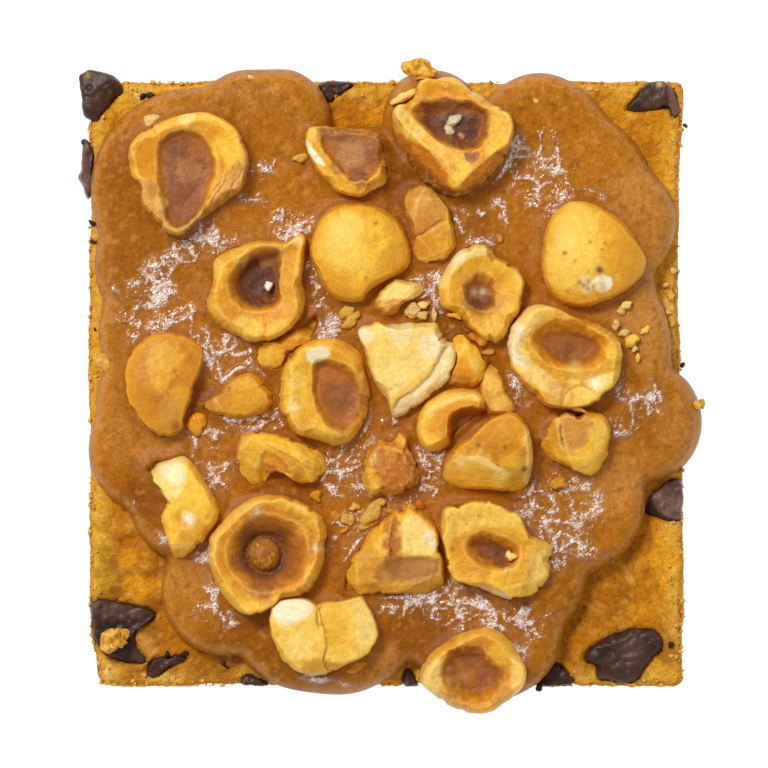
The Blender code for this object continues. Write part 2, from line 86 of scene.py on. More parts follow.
# Colours of the nuts
GOLD = srgb(238, 178, 46)
GOLD_BRIGHT = srgb(250, 194, 56)
GOLD_PALE = srgb(248, 200, 84)
DEEP_GOLD = srgb(222, 148, 26)
CREAM = srgb(252, 214, 122)
SCAR = srgb(254, 242, 204)
TAN = srgb(208, 136, 34)
TAN_DULL = srgb(208, 142, 60)
DARK_TAN = srgb(172, 98, 18)
MOTTLED = srgb(216, 148, 38)
FACE_TAN = srgb(214, 154, 60)
TOASTED = srgb(200, 118, 28)
RUST = srgb(182, 98, 28)
SKIN = srgb(142, 76, 16)
# Skin darkened with painted shade, for a wall that faces away
SKIN_AND_SHADE = srgb(116, 58, 12)
CAVITY = srgb(166, 104, 44)
CAVITY_ROSE = srgb(190, 126, 72)
CAVITY_WINE = srgb(142, 82, 46)
CAVITY_DARK = srgb(98, 58, 40)
CAVITY_EDGE = srgb(214, 134, 24)
CAVITY_BROWN = srgb(178, 104, 34)
CAVITY_PURPLE = srgb(92, 54, 42)
CAVITY_TAN = srgb(186, 128, 72)
ORANGE_GOLD = srgb(232, 150, 28)
TAN_WARM = srgb(214, 138, 34)
SKIN_ORANGE = srgb(204, 118, 24)
SKIN_GOLD = srgb(200, 126, 18)
OCHRE = srgb(174, 98, 16)
RIM_TAN = srgb(242, 192, 86)
FACE_GOLD = srgb(240, 180, 60)
OLIVE_GOLD = srgb(204, 146, 42)
BALL = srgb(158, 90, 30)
FLAKE = srgb(214, 164, 66)
FLAKE_PALE = srgb(222, 186, 116)
WHITE_BIT = srgb(250, 240, 214)
SCAR_GREY = srgb(214, 200, 160)

# Colours of the sauce, the layers and the chocolate
SAUCE = srgb(178, 108, 14)
SAUCE_DARK = srgb(134, 72, 0)
SAUCE_PALE = srgb(200, 136, 62)
SAUCE_SHINE = srgb(255, 244, 238)
SAUCE_SHEEN = srgb(180, 130, 96)
CRUST = srgb(204, 126, 14)
CRUST_DARK = srgb(160, 88, 14)
CRUST_PALE = srgb(238, 162, 30)
CRUMB = srgb(232, 172, 50)
CRUMB_PALE = srgb(240, 194, 104)
CRUMB_YELLOW = srgb(240, 190, 62)
CRUMB_OLIVE = srgb(184, 132, 26)
BROWNIE = srgb(72, 44, 30)
BROWNIE_DARK = srgb(44, 26, 20)
COCOA = srgb(66, 38, 26)
COCOA_PALE = srgb(100, 68, 54)
COCOA_DARK = srgb(40, 22, 16)
COCOA_MILKY = srgb(124, 88, 76)


# Repeatable noise


def lattice(ix, iy, iz, seed):
    """A repeatable value from 0 to 1 for each whole-number point."""
    mixed = (ix * 374761393 + iy * 668265263 + iz * 1274126177 + seed * 974634777) & 0xFFFFFFFF
    mixed = ((mixed ^ (mixed >> 13)) * 1103515245) & 0xFFFFFFFF
    mixed = ((mixed ^ (mixed >> 15)) * 2246822519) & 0xFFFFFFFF
    return ((mixed ^ (mixed >> 16)) & 0xFFFF) / 65535.0


def noise(points, size, seed):
    """Smooth noise from -1 to 1 with lumps of about the given size."""
    scaled = np.asarray(points, dtype=float) / size
    base = np.floor(scaled).astype(np.int64)
    part = scaled - base
    part = part * part * part * (part * (part * 6 - 15) + 10)
    total = 0.0
    for dx in (0, 1):
        for dy in (0, 1):
            for dz in (0, 1):
                weight = (
                    (part[..., 0] if dx else 1 - part[..., 0])
                    * (part[..., 1] if dy else 1 - part[..., 1])
                    * (part[..., 2] if dz else 1 - part[..., 2])
                )
                value = lattice(base[..., 0] + dx, base[..., 1] + dy, base[..., 2] + dz, seed)
                total = total + weight * value
    return total * 2 - 1


def layered(points, size, seed, steps=3):
    """Noise summed over steps, each half the size and half the height of the one before."""
    total = 0.0
    for step in range(steps):
        total = total + noise(points, size / 2**step, seed + step) / 2**step
    return total / 1.6


def cells(points, size, seed):
    """Distance to the nearest of scattered points, as a share of their spacing, and that point's value."""
    scaled = np.asarray(points, dtype=float) / size
    base = np.floor(scaled).astype(np.int64)
    nearest = np.full(scaled.shape[:-1], 9.0)
    value = np.zeros(scaled.shape[:-1])
    for dx in (-1, 0, 1):
        for dy in (-1, 0, 1):
            for dz in (-1, 0, 1):
                x = base[..., 0] + dx
                y = base[..., 1] + dy
                z = base[..., 2] + dz
                away = (
                    (x + lattice(x, y, z, seed) - scaled[..., 0]) ** 2
                    + (y + lattice(x, y, z, seed + 1) - scaled[..., 1]) ** 2
                    + (z + lattice(x, y, z, seed + 2) - scaled[..., 2]) ** 2
                )
                closer = away < nearest
                nearest = np.where(closer, away, nearest)
                value = np.where(closer, lattice(x, y, z, seed + 3), value)
    return np.sqrt(nearest), value


def drift(points, size, height, seed):
    """Moves by smooth noise in all three directions."""
    moves = [noise(points, size, seed + step * 7) for step in range(3)]
    return np.stack(moves, axis=-1) * height


def shake(points, size, height, seed):
    """Points moved by smooth noise in all three directions."""
    return points + drift(points, size, height, seed)


def on_plan(x, y):
    """Plan points at height 0, for noise that is the same at every height."""
    return np.stack([x, y, np.zeros(np.shape(x))], axis=-1)


def wrapped(angles, radius, height):
    """Points round an axis, for noise that has no seam."""
    return np.stack([np.cos(angles) * radius, np.sin(angles) * radius, height + 0 * angles], axis=-1)


def smooth(low, high, value):
    """Ease from 0 at low to 1 at high."""
    share = np.clip((value - low) / (high - low), 0, 1)
    return share * share * (3 - 2 * share)


def mix(first, second, share):
    """Blend two colours by a share for each point."""
    share = np.clip(np.asarray(share), 0, 1)[..., None]
    return first * (1 - share) + second * share


def over(colour, *layers):
    """Mix tints over a colour, each with its strength and the range of a field that brings it in."""
    for tint, strength, low, high, field in layers:
        colour = mix(colour, tint, strength * smooth(low, high, field))
    return colour


def painted_relief_light(colour, stand, pale, pale_strength, dark, dark_strength):
    """A painted highlight where the surface stands out and painted shade where it lies back."""
    colour = mix(colour, pale, pale_strength * np.maximum(stand, 0))
    return mix(colour, dark, dark_strength * np.maximum(-stand, 0))


# Plan shapes


def to_plan(column, row):
    """Turn a grid position into millimetres from the middle of the bar."""
    return (column - MIDDLE_COLUMN) / GRID_PER_MM, (MIDDLE_ROW - row) / GRID_PER_MM


def rounded(outline, passes):
    """Plan points of a closed outline in millimetres, its corners cut so many times."""
    points = np.array([to_plan(column, row) for column, row in outline])
    for _ in range(passes):
        following = np.roll(points, -1, axis=0)
        pair = np.stack([points * 0.75 + following * 0.25, points * 0.25 + following * 0.75], axis=1)
        points = pair.reshape(-1, 2)
    return points


def inside(points, x, y):
    """Distance in millimetres from plan points to a closed outline, above 0 inside it."""
    nearest = np.full(np.shape(x), 99.0)
    within = np.zeros(np.shape(x), dtype=bool)
    for first, second in zip(points, np.roll(points, -1, axis=0)):
        run = second - first
        share = np.clip(((x - first[0]) * run[0] + (y - first[1]) * run[1]) / (run @ run), 0, 1)
        nearest = np.minimum(nearest, np.hypot(x - first[0] - share * run[0], y - first[1] - share * run[1]))
        if run[1]:
            beside = x < first[0] + run[0] * (y - first[1]) / run[1]
            within ^= ((first[1] > y) != (second[1] > y)) & beside
    return np.where(within, nearest, -nearest)


def oval_outline(at, half, turn=0, cuts=(), count=28):
    """Grid points of an oval outline with straight cuts, each an angle and a distance from its middle."""
    points = []
    for number in range(count):
        angle = math.tau * number / count
        turned = angle - math.radians(turn)
        distance = 1 / math.hypot(math.cos(turned) / half[0], math.sin(turned) / half[1])
        for facing, limit in cuts:
            share = math.cos(angle - math.radians(facing))
            if share > 0.02:
                distance = min(distance, limit / share)
        points.append((at[0] + distance * math.cos(angle), at[1] - distance * math.sin(angle)))
    return tuple(points)


def reach(shape, angles):
    """Distance in millimetres from the middle of a shape to its outline at each angle."""
    apart = rounded(shape["outline"], shape["ease"]) - np.array(to_plan(*shape["at"]))
    turns = np.arctan2(apart[:, 1], apart[:, 0])
    order = np.argsort(turns)
    apart = apart[order]
    turns = turns[order]
    number = np.searchsorted(turns - turns[0], np.mod(angles - turns[0], math.tau), side="right") - 1
    first = apart[number]
    run = apart[(number + 1) % len(apart)] - first
    across = first[..., 0] * run[..., 1] - first[..., 1] * run[..., 0]
    facing = np.cos(angles) * run[..., 1] - np.sin(angles) * run[..., 0]
    return across / np.maximum(facing, 1e-6)


def soften(values, steps):
    """Round a closed run of values by averaging each with its neighbours."""
    for _ in range(steps):
        values = (np.roll(values, 1) + 2 * values + np.roll(values, -1)) / 4
    return values


def grid_distance(x, y, column, row):
    """Distance of plan points from a grid position, measured on the grid."""
    place_x, place_y = to_plan(column, row)
    return np.hypot(x - place_x, y - place_y) * GRID_PER_MM


def patch(x, y, column, row, radius):
    """A soft round spot on the plan, 1 in its middle."""
    away = grid_distance(x, y, column, row) / radius
    return np.exp(-(away**2))


def tint_places(colour, x, y, places, wider, uneven):
    """Mix in a table of tinted places, each with a soft edge that a noise makes uneven."""
    for column, row, radius, tint, strength in places:
        shaped = smooth(0.1, 0.8, patch(x, y, column, row, radius * wider) + uneven)
        colour = mix(colour, tint, shaped * strength)
    return colour


def chip_facets(shape):
    """Small facets round a broken piece: angle, start and fall of each."""
    strength = shape["chips"]
    if not strength:
        return ()
    column, row = shape["at"]
    number = np.arange(CHIPS)
    draw = lattice(number, int(column), int(row), 57)
    other = lattice(number, int(column), int(row), 59)
    angles = (number + 0.8 * draw) * 360 / CHIPS
    limits = reach(shape, np.radians(angles)) * GRID_PER_MM
    facets = []
    for angle, limit, share in zip(angles, limits, other):
        facets.append((angle, limit * (0.58 + 0.30 * share), strength * (0.05 + 0.10 * share)))
    return facets


def groove_depth(groove, x, y, wobble):
    """How far a groove is cut at each plan point."""
    column, row, end_column, end_row, depth, half_width = groove
    start_x, start_y = to_plan(column, row)
    end_x, end_y = to_plan(end_column, end_row)
    length = math.hypot(end_x - start_x, end_y - start_y)
    run_x = (end_x - start_x) / length
    run_y = (end_y - start_y) / length
    share = ((x - start_x) * run_x + (y - start_y) * run_y) / length
    across = ((x - start_x) * run_y - (y - start_y) * run_x) * GRID_PER_MM + wobble
    ends = smooth(-0.12, 0.12, share) * smooth(-0.12, 0.12, 1 - share)
    return depth * ends * np.exp(-((across / half_width) ** 2))


def level(shape, x, y):
    """Height of a piece's top without its rounded edge: crown, facets, chips, grooves and ledges."""
    middle_x, middle_y = to_plan(*shape["at"])
    along = (x - middle_x) * GRID_PER_MM
    up = (y - middle_y) * GRID_PER_MM
    height = shape["top"] + shape["slope"][0] * along + shape["slope"][1] * up
    if shape["crown"]:
        column, row, half_x, half_y, drop = shape["crown"]
        crown_x, crown_y = to_plan(column, row)
        ratio = np.hypot((x - crown_x) / half_x, (y - crown_y) / half_y) * GRID_PER_MM
        height = height - drop * (1 - np.sqrt(1 - np.clip(ratio, 0, 0.999) ** 2))
    for angle, start, fall in (*shape["facets"], *chip_facets(shape)):
        away = along * math.cos(math.radians(angle)) + up * math.sin(math.radians(angle))
        height = height - fall * np.maximum(away - start, 0)
    flat = on_plan(x, y)
    wobble = noise(flat, 1.4, 61) * 1.6 + noise(flat, 0.5, 63) * 0.8
    for groove in shape["grooves"]:
        height = height - groove_depth(groove, x, y, wobble)
    for outline, rise, soft in shape["ledges"]:
        height = height + rise * smooth(-soft, soft, inside(rounded(outline, 1), x, y) + 0.08 * wobble)
    return height


def piece(name, kind, at, outline, top, **more):
    """Describe one star-shaped piece by its plan outline, its top and its colours."""
    described = {"name": name, "kind": kind, "at": at, "outline": outline, "top": top}
    described.update(ease=0 if kind == "chunk" else 1)
    described.update(hollow=None, dish=(0, 1), crown=None, facets=(), grooves=(), ledges=())
    described.update(lean=(0, 0), slope=(0, 0), tone=GOLD, inner=DEEP_GOLD, areas=(), spots=())
    described.update(rough=1.0, skin=0.35, edge=EDGES[kind], chips=CHIPPED[kind], ragged=RAGGED[kind])
    described.update(more)
    return described


def hollow(outline, depth, wall=1.0, soft=0.3, halo=0.6, uneven=0.15, steep=None, ball=None, **tones):
    """Describe a nut's cavity: its outline and depth, and the widths of its wall, colour edge and halo."""
    described = {"outline": outline, "depth": depth, "wall": wall, "soft": soft, "halo": halo}
    described.update(uneven=uneven, steep=steep, ball=ball, tone=CAVITY, deep=CAVITY_WINE, streaks=0.25)
    described.update(tones)
    return described


# Rounding of the upper edge, strength of the chips, raggedness of the outline and lean of the walls, by kind
EDGES = {"cup": 0.30, "chunk": 0.24, "dome": 0.5, "chip": 0.4, "crumb": 1.1}
CHIPPED = {"cup": 0.0, "chunk": 0.6, "dome": 0.0, "chip": 0.0, "crumb": 0.0}
RAGGED = {"cup": 0.16, "chunk": 0.20, "dome": 0.07, "chip": 0.19, "crumb": 0.35}
SLANTS = {"cup": 0.45, "chunk": 0.30, "dome": 0.15, "chip": 0.0, "crumb": 0.0}
CHIPS = 9
# Skin share above which veins show, radius above which a spot is ragged, and the height of a chunk's edge
VEINED_SKIN = 0.15
LARGE_SPOT = 5
CHOCOLATE_EDGE = 1.6
# Distance given to points that are in no cavity
FAR_OUTSIDE = -9.0

# Sauce lobes, each a disc: column, row, radius
SAUCE_LOBES = (
    (385, 385, 235),
    (192, 190, 102),
    (165, 265, 71),
    (250, 140, 69),
    (283, 118, 47),
    (360, 180, 55),
    (432, 120, 49),
    (540, 145, 71),
    (575, 185, 74),
    (612, 222, 64),
    (600, 290, 55),
    (560, 350, 112),
    (641, 422, 60),
    (158, 333, 60),
    (570, 500, 76),
    (510, 570, 78),
    (497, 632, 66),
    (450, 600, 50),
    (450, 636, 44),
    (410, 628, 30),
    (365, 630, 52),
    (340, 632, 61),
    (305, 615, 76),
    (225, 592, 64),
    (190, 500, 62),
    (150, 450, 62),
    (160, 400, 64),
)
# Sauce that hangs over the sides: column, row, reach of the drip on the grid, drop in millimetres
SAUCE_DRIPS = (
    (262, 75, 42, 4.5),
    (432, 75, 42, 5.5),
    (540, 78, 34, 2.5),
    (700, 425, 48, 7.0),
    (345, 690, 48, 3.5),
    (480, 696, 40, 4.0),
)
# Wet, crinkled places of the sauce, where pale glints are also painted: column, row, half length, half width,
# turn, strength
SAUCE_RIPPLES = (
    (178, 258, 62, 15, 32, 1.0),
    (150, 287, 26, 20, 10, 1.0),
    (128, 322, 9, 16, 0, 0.7),
    (178, 318, 38, 7, 18, 0.9),
    (264, 166, 11, 13, 0, 0.9),
    (292, 222, 16, 16, 0, 0.9),
    (258, 202, 26, 8, 0, 0.6),
    (535, 168, 27, 30, 0, 1.5),
    (663, 284, 9, 20, 0, 0.7),
    (462, 209, 9, 5, -30, 0.9),
    (482, 213, 12, 5, 10, 0.9),
    (500, 204, 7, 6, 0, 1.0),
    (506, 220, 5, 12, 0, 1.0),
    (496, 238, 10, 5, 30, 0.9),
    (476, 240, 12, 5, -10, 0.8),
    (461, 228, 5, 11, 20, 0.8),
    (590, 190, 40, 8, -30, 0.5),
    (215, 355, 30, 12, -25, 0.8),
    (222, 368, 12, 14, 0, 0.7),
    (317, 287, 9, 24, 10, 0.9),
    (330, 325, 14, 18, 0, 0.7),
    (430, 285, 20, 10, 10, 0.8),
    (372, 425, 18, 14, 0, 0.7),
    (236, 428, 44, 7, 6, 0.8),
    (207, 441, 18, 12, 0, 0.9),
    (212, 472, 14, 20, 0, 0.8),
    (140, 425, 7, 16, 30, 0.5),
    (342, 450, 26, 12, 10, 0.7),
    (352, 488, 30, 8, -12, 0.9),
    (395, 500, 26, 9, 0, 1.0),
    (427, 470, 10, 24, 0, 0.9),
    (345, 532, 16, 26, -20, 0.7),
    (556, 500, 30, 14, -20, 0.9),
    (590, 500, 14, 24, 0, 0.8),
    (566, 545, 16, 30, -30, 0.8),
    (644, 404, 14, 26, -35, 1.0),
    (621, 424, 9, 14, -35, 0.8),
    (520, 390, 10, 26, 30, 0.6),
    (610, 372, 12, 10, 0, 0.7),
    (484, 606, 32, 14, -8, 1.0),
    (520, 622, 18, 14, -40, 0.8),
    (400, 610, 26, 8, 0, 0.7),
    (212, 590, 8, 30, 5, 0.8),
    (200, 610, 13, 11, 0, 0.8),
    (228, 618, 14, 9, 0, 0.9),
    (132, 500, 7, 9, 0, 0.6),
    (160, 542, 16, 8, -35, 0.6),
    (206, 556, 12, 10, 0, 0.7),
    (325, 680, 26, 5, -12, 0.5),
    (222, 352, 34, 22, -20, 1.0),
    (516, 390, 7, 18, 20, 0.9),
    (620, 385, 8, 20, 0, 0.9),
    (622, 424, 12, 14, 0, 0.9),
    (384, 424, 16, 10, 0, 0.9),
    (432, 464, 12, 20, 0, 1.0),
    (350, 462, 10, 18, 0, 0.9),
    (426, 492, 12, 10, 0, 1.0),
    (560, 498, 34, 12, 0, 1.0),
    (438, 303, 8, 12, 0, 0.9),
    (245, 420, 40, 8, 5, 0.9),
    (214, 460, 18, 28, 0, 0.9),
    (340, 478, 22, 24, 0, 0.9),
    (134, 325, 18, 9, 0, 0.8),
    (542, 166, 24, 16, -35, 1.0),
    (528, 190, 10, 16, 20, 0.9),
    (540, 145, 20, 16, 0, 1.0),
    (560, 190, 14, 12, 0, 1.0),
    (562, 520, 36, 44, 0, 0.9),
    (462, 604, 60, 18, -4, 1.0),
    (500, 615, 40, 14, 0, 1.0),
    (530, 630, 16, 26, -20, 0.7),
)
# Places of the sauce made darker or paler, the dark ones beside and between the nuts partly painted shade:
# column, row, radius, colour, strength
SAUCE_TINTS_AND_SHADE = (
    (398, 168, 26, SAUCE_DARK, 0.8),
    (392, 212, 26, SAUCE_DARK, 0.5),
    (318, 290, 22, SAUCE_DARK, 0.5),
    (440, 325, 30, SAUCE_DARK, 0.7),
    (150, 495, 30, SAUCE_DARK, 0.9),
    (290, 495, 26, SAUCE_DARK, 0.6),
    (200, 400, 18, SAUCE_DARK, 0.8),
    (520, 500, 26, SAUCE_DARK, 0.5),
    (560, 590, 60, SAUCE_DARK, 0.35),
    (420, 640, 40, SAUCE_DARK, 0.8),
    (260, 660, 60, SAUCE_DARK, 0.7),
    (660, 420, 36, SAUCE_DARK, 0.45),
    (445, 255, 16, SAUCE_DARK, 0.2),
    (480, 224, 14, SAUCE_DARK, 0.6),
    (150, 230, 70, SAUCE_DARK, 0.45),
    (120, 300, 50, SAUCE_DARK, 0.30),
    (230, 100, 60, SAUCE_DARK, 0.20),
    (690, 425, 34, SAUCE_PALE, 0.5),
    (130, 420, 40, SAUCE_PALE, 0.15),
    (112, 155, 34, SAUCE_DARK, 0.50),
    (395, 505, 30, SAUCE_PALE, 0.4),
    (610, 480, 34, SAUCE_PALE, 0.7),
    (640, 200, 34, SAUCE_PALE, 0.6),
    (640, 300, 40, SAUCE_PALE, 0.8),
    (658, 255, 26, SAUCE_PALE, 0.7),
    (657, 266, 12, CRUMB, 0.5),
    (648, 345, 26, SAUCE_PALE, 0.6),
    (614, 306, 14, SAUCE_PALE, 0.6),
    (388, 140, 14, SAUCE_DARK, 0.8),
    (398, 186, 16, SAUCE_DARK, 0.7),
    (386, 530, 14, SAUCE_DARK, 0.8),
    (568, 428, 22, SAUCE_PALE, 0.5),
    (436, 392, 16, SAUCE_PALE, 0.4),
    (436, 262, 12, SAUCE_PALE, 0.5),
    (84, 392, 14, SAUCE_DARK, 0.5),
    (190, 540, 22, SAUCE_PALE, 0.5),
    (190, 580, 20, SAUCE_PALE, 0.5),
    (160, 465, 24, SAUCE_PALE, 0.5),
    (385, 655, 14, SAUCE_PALE, 0.7),
)
SAUCE_BLEND = 0.5
SAUCE_EDGE = 2.6
SAUCE_LIP = SAUCE_FLOOR + 0.8
SAUCE_STEP = 0.27
# The sheet's sides in millimetres from the middle, and a small step that measures its slope
SHEET_LEFT = -40.0
SHEET_RIGHT = 41.0
SHEET_FRONT = -41.0
SHEET_BACK = 41.0
PROBE = 0.01
# Loops down the sauce's sides: share of the way down and inset
SIDE_LOOPS = ((0.25, -0.05), (0.5, 0.0), (0.72, 0.12), (0.88, 0.35), (0.97, 0.7), (1.0, 1.2), (1.0, 3.4))

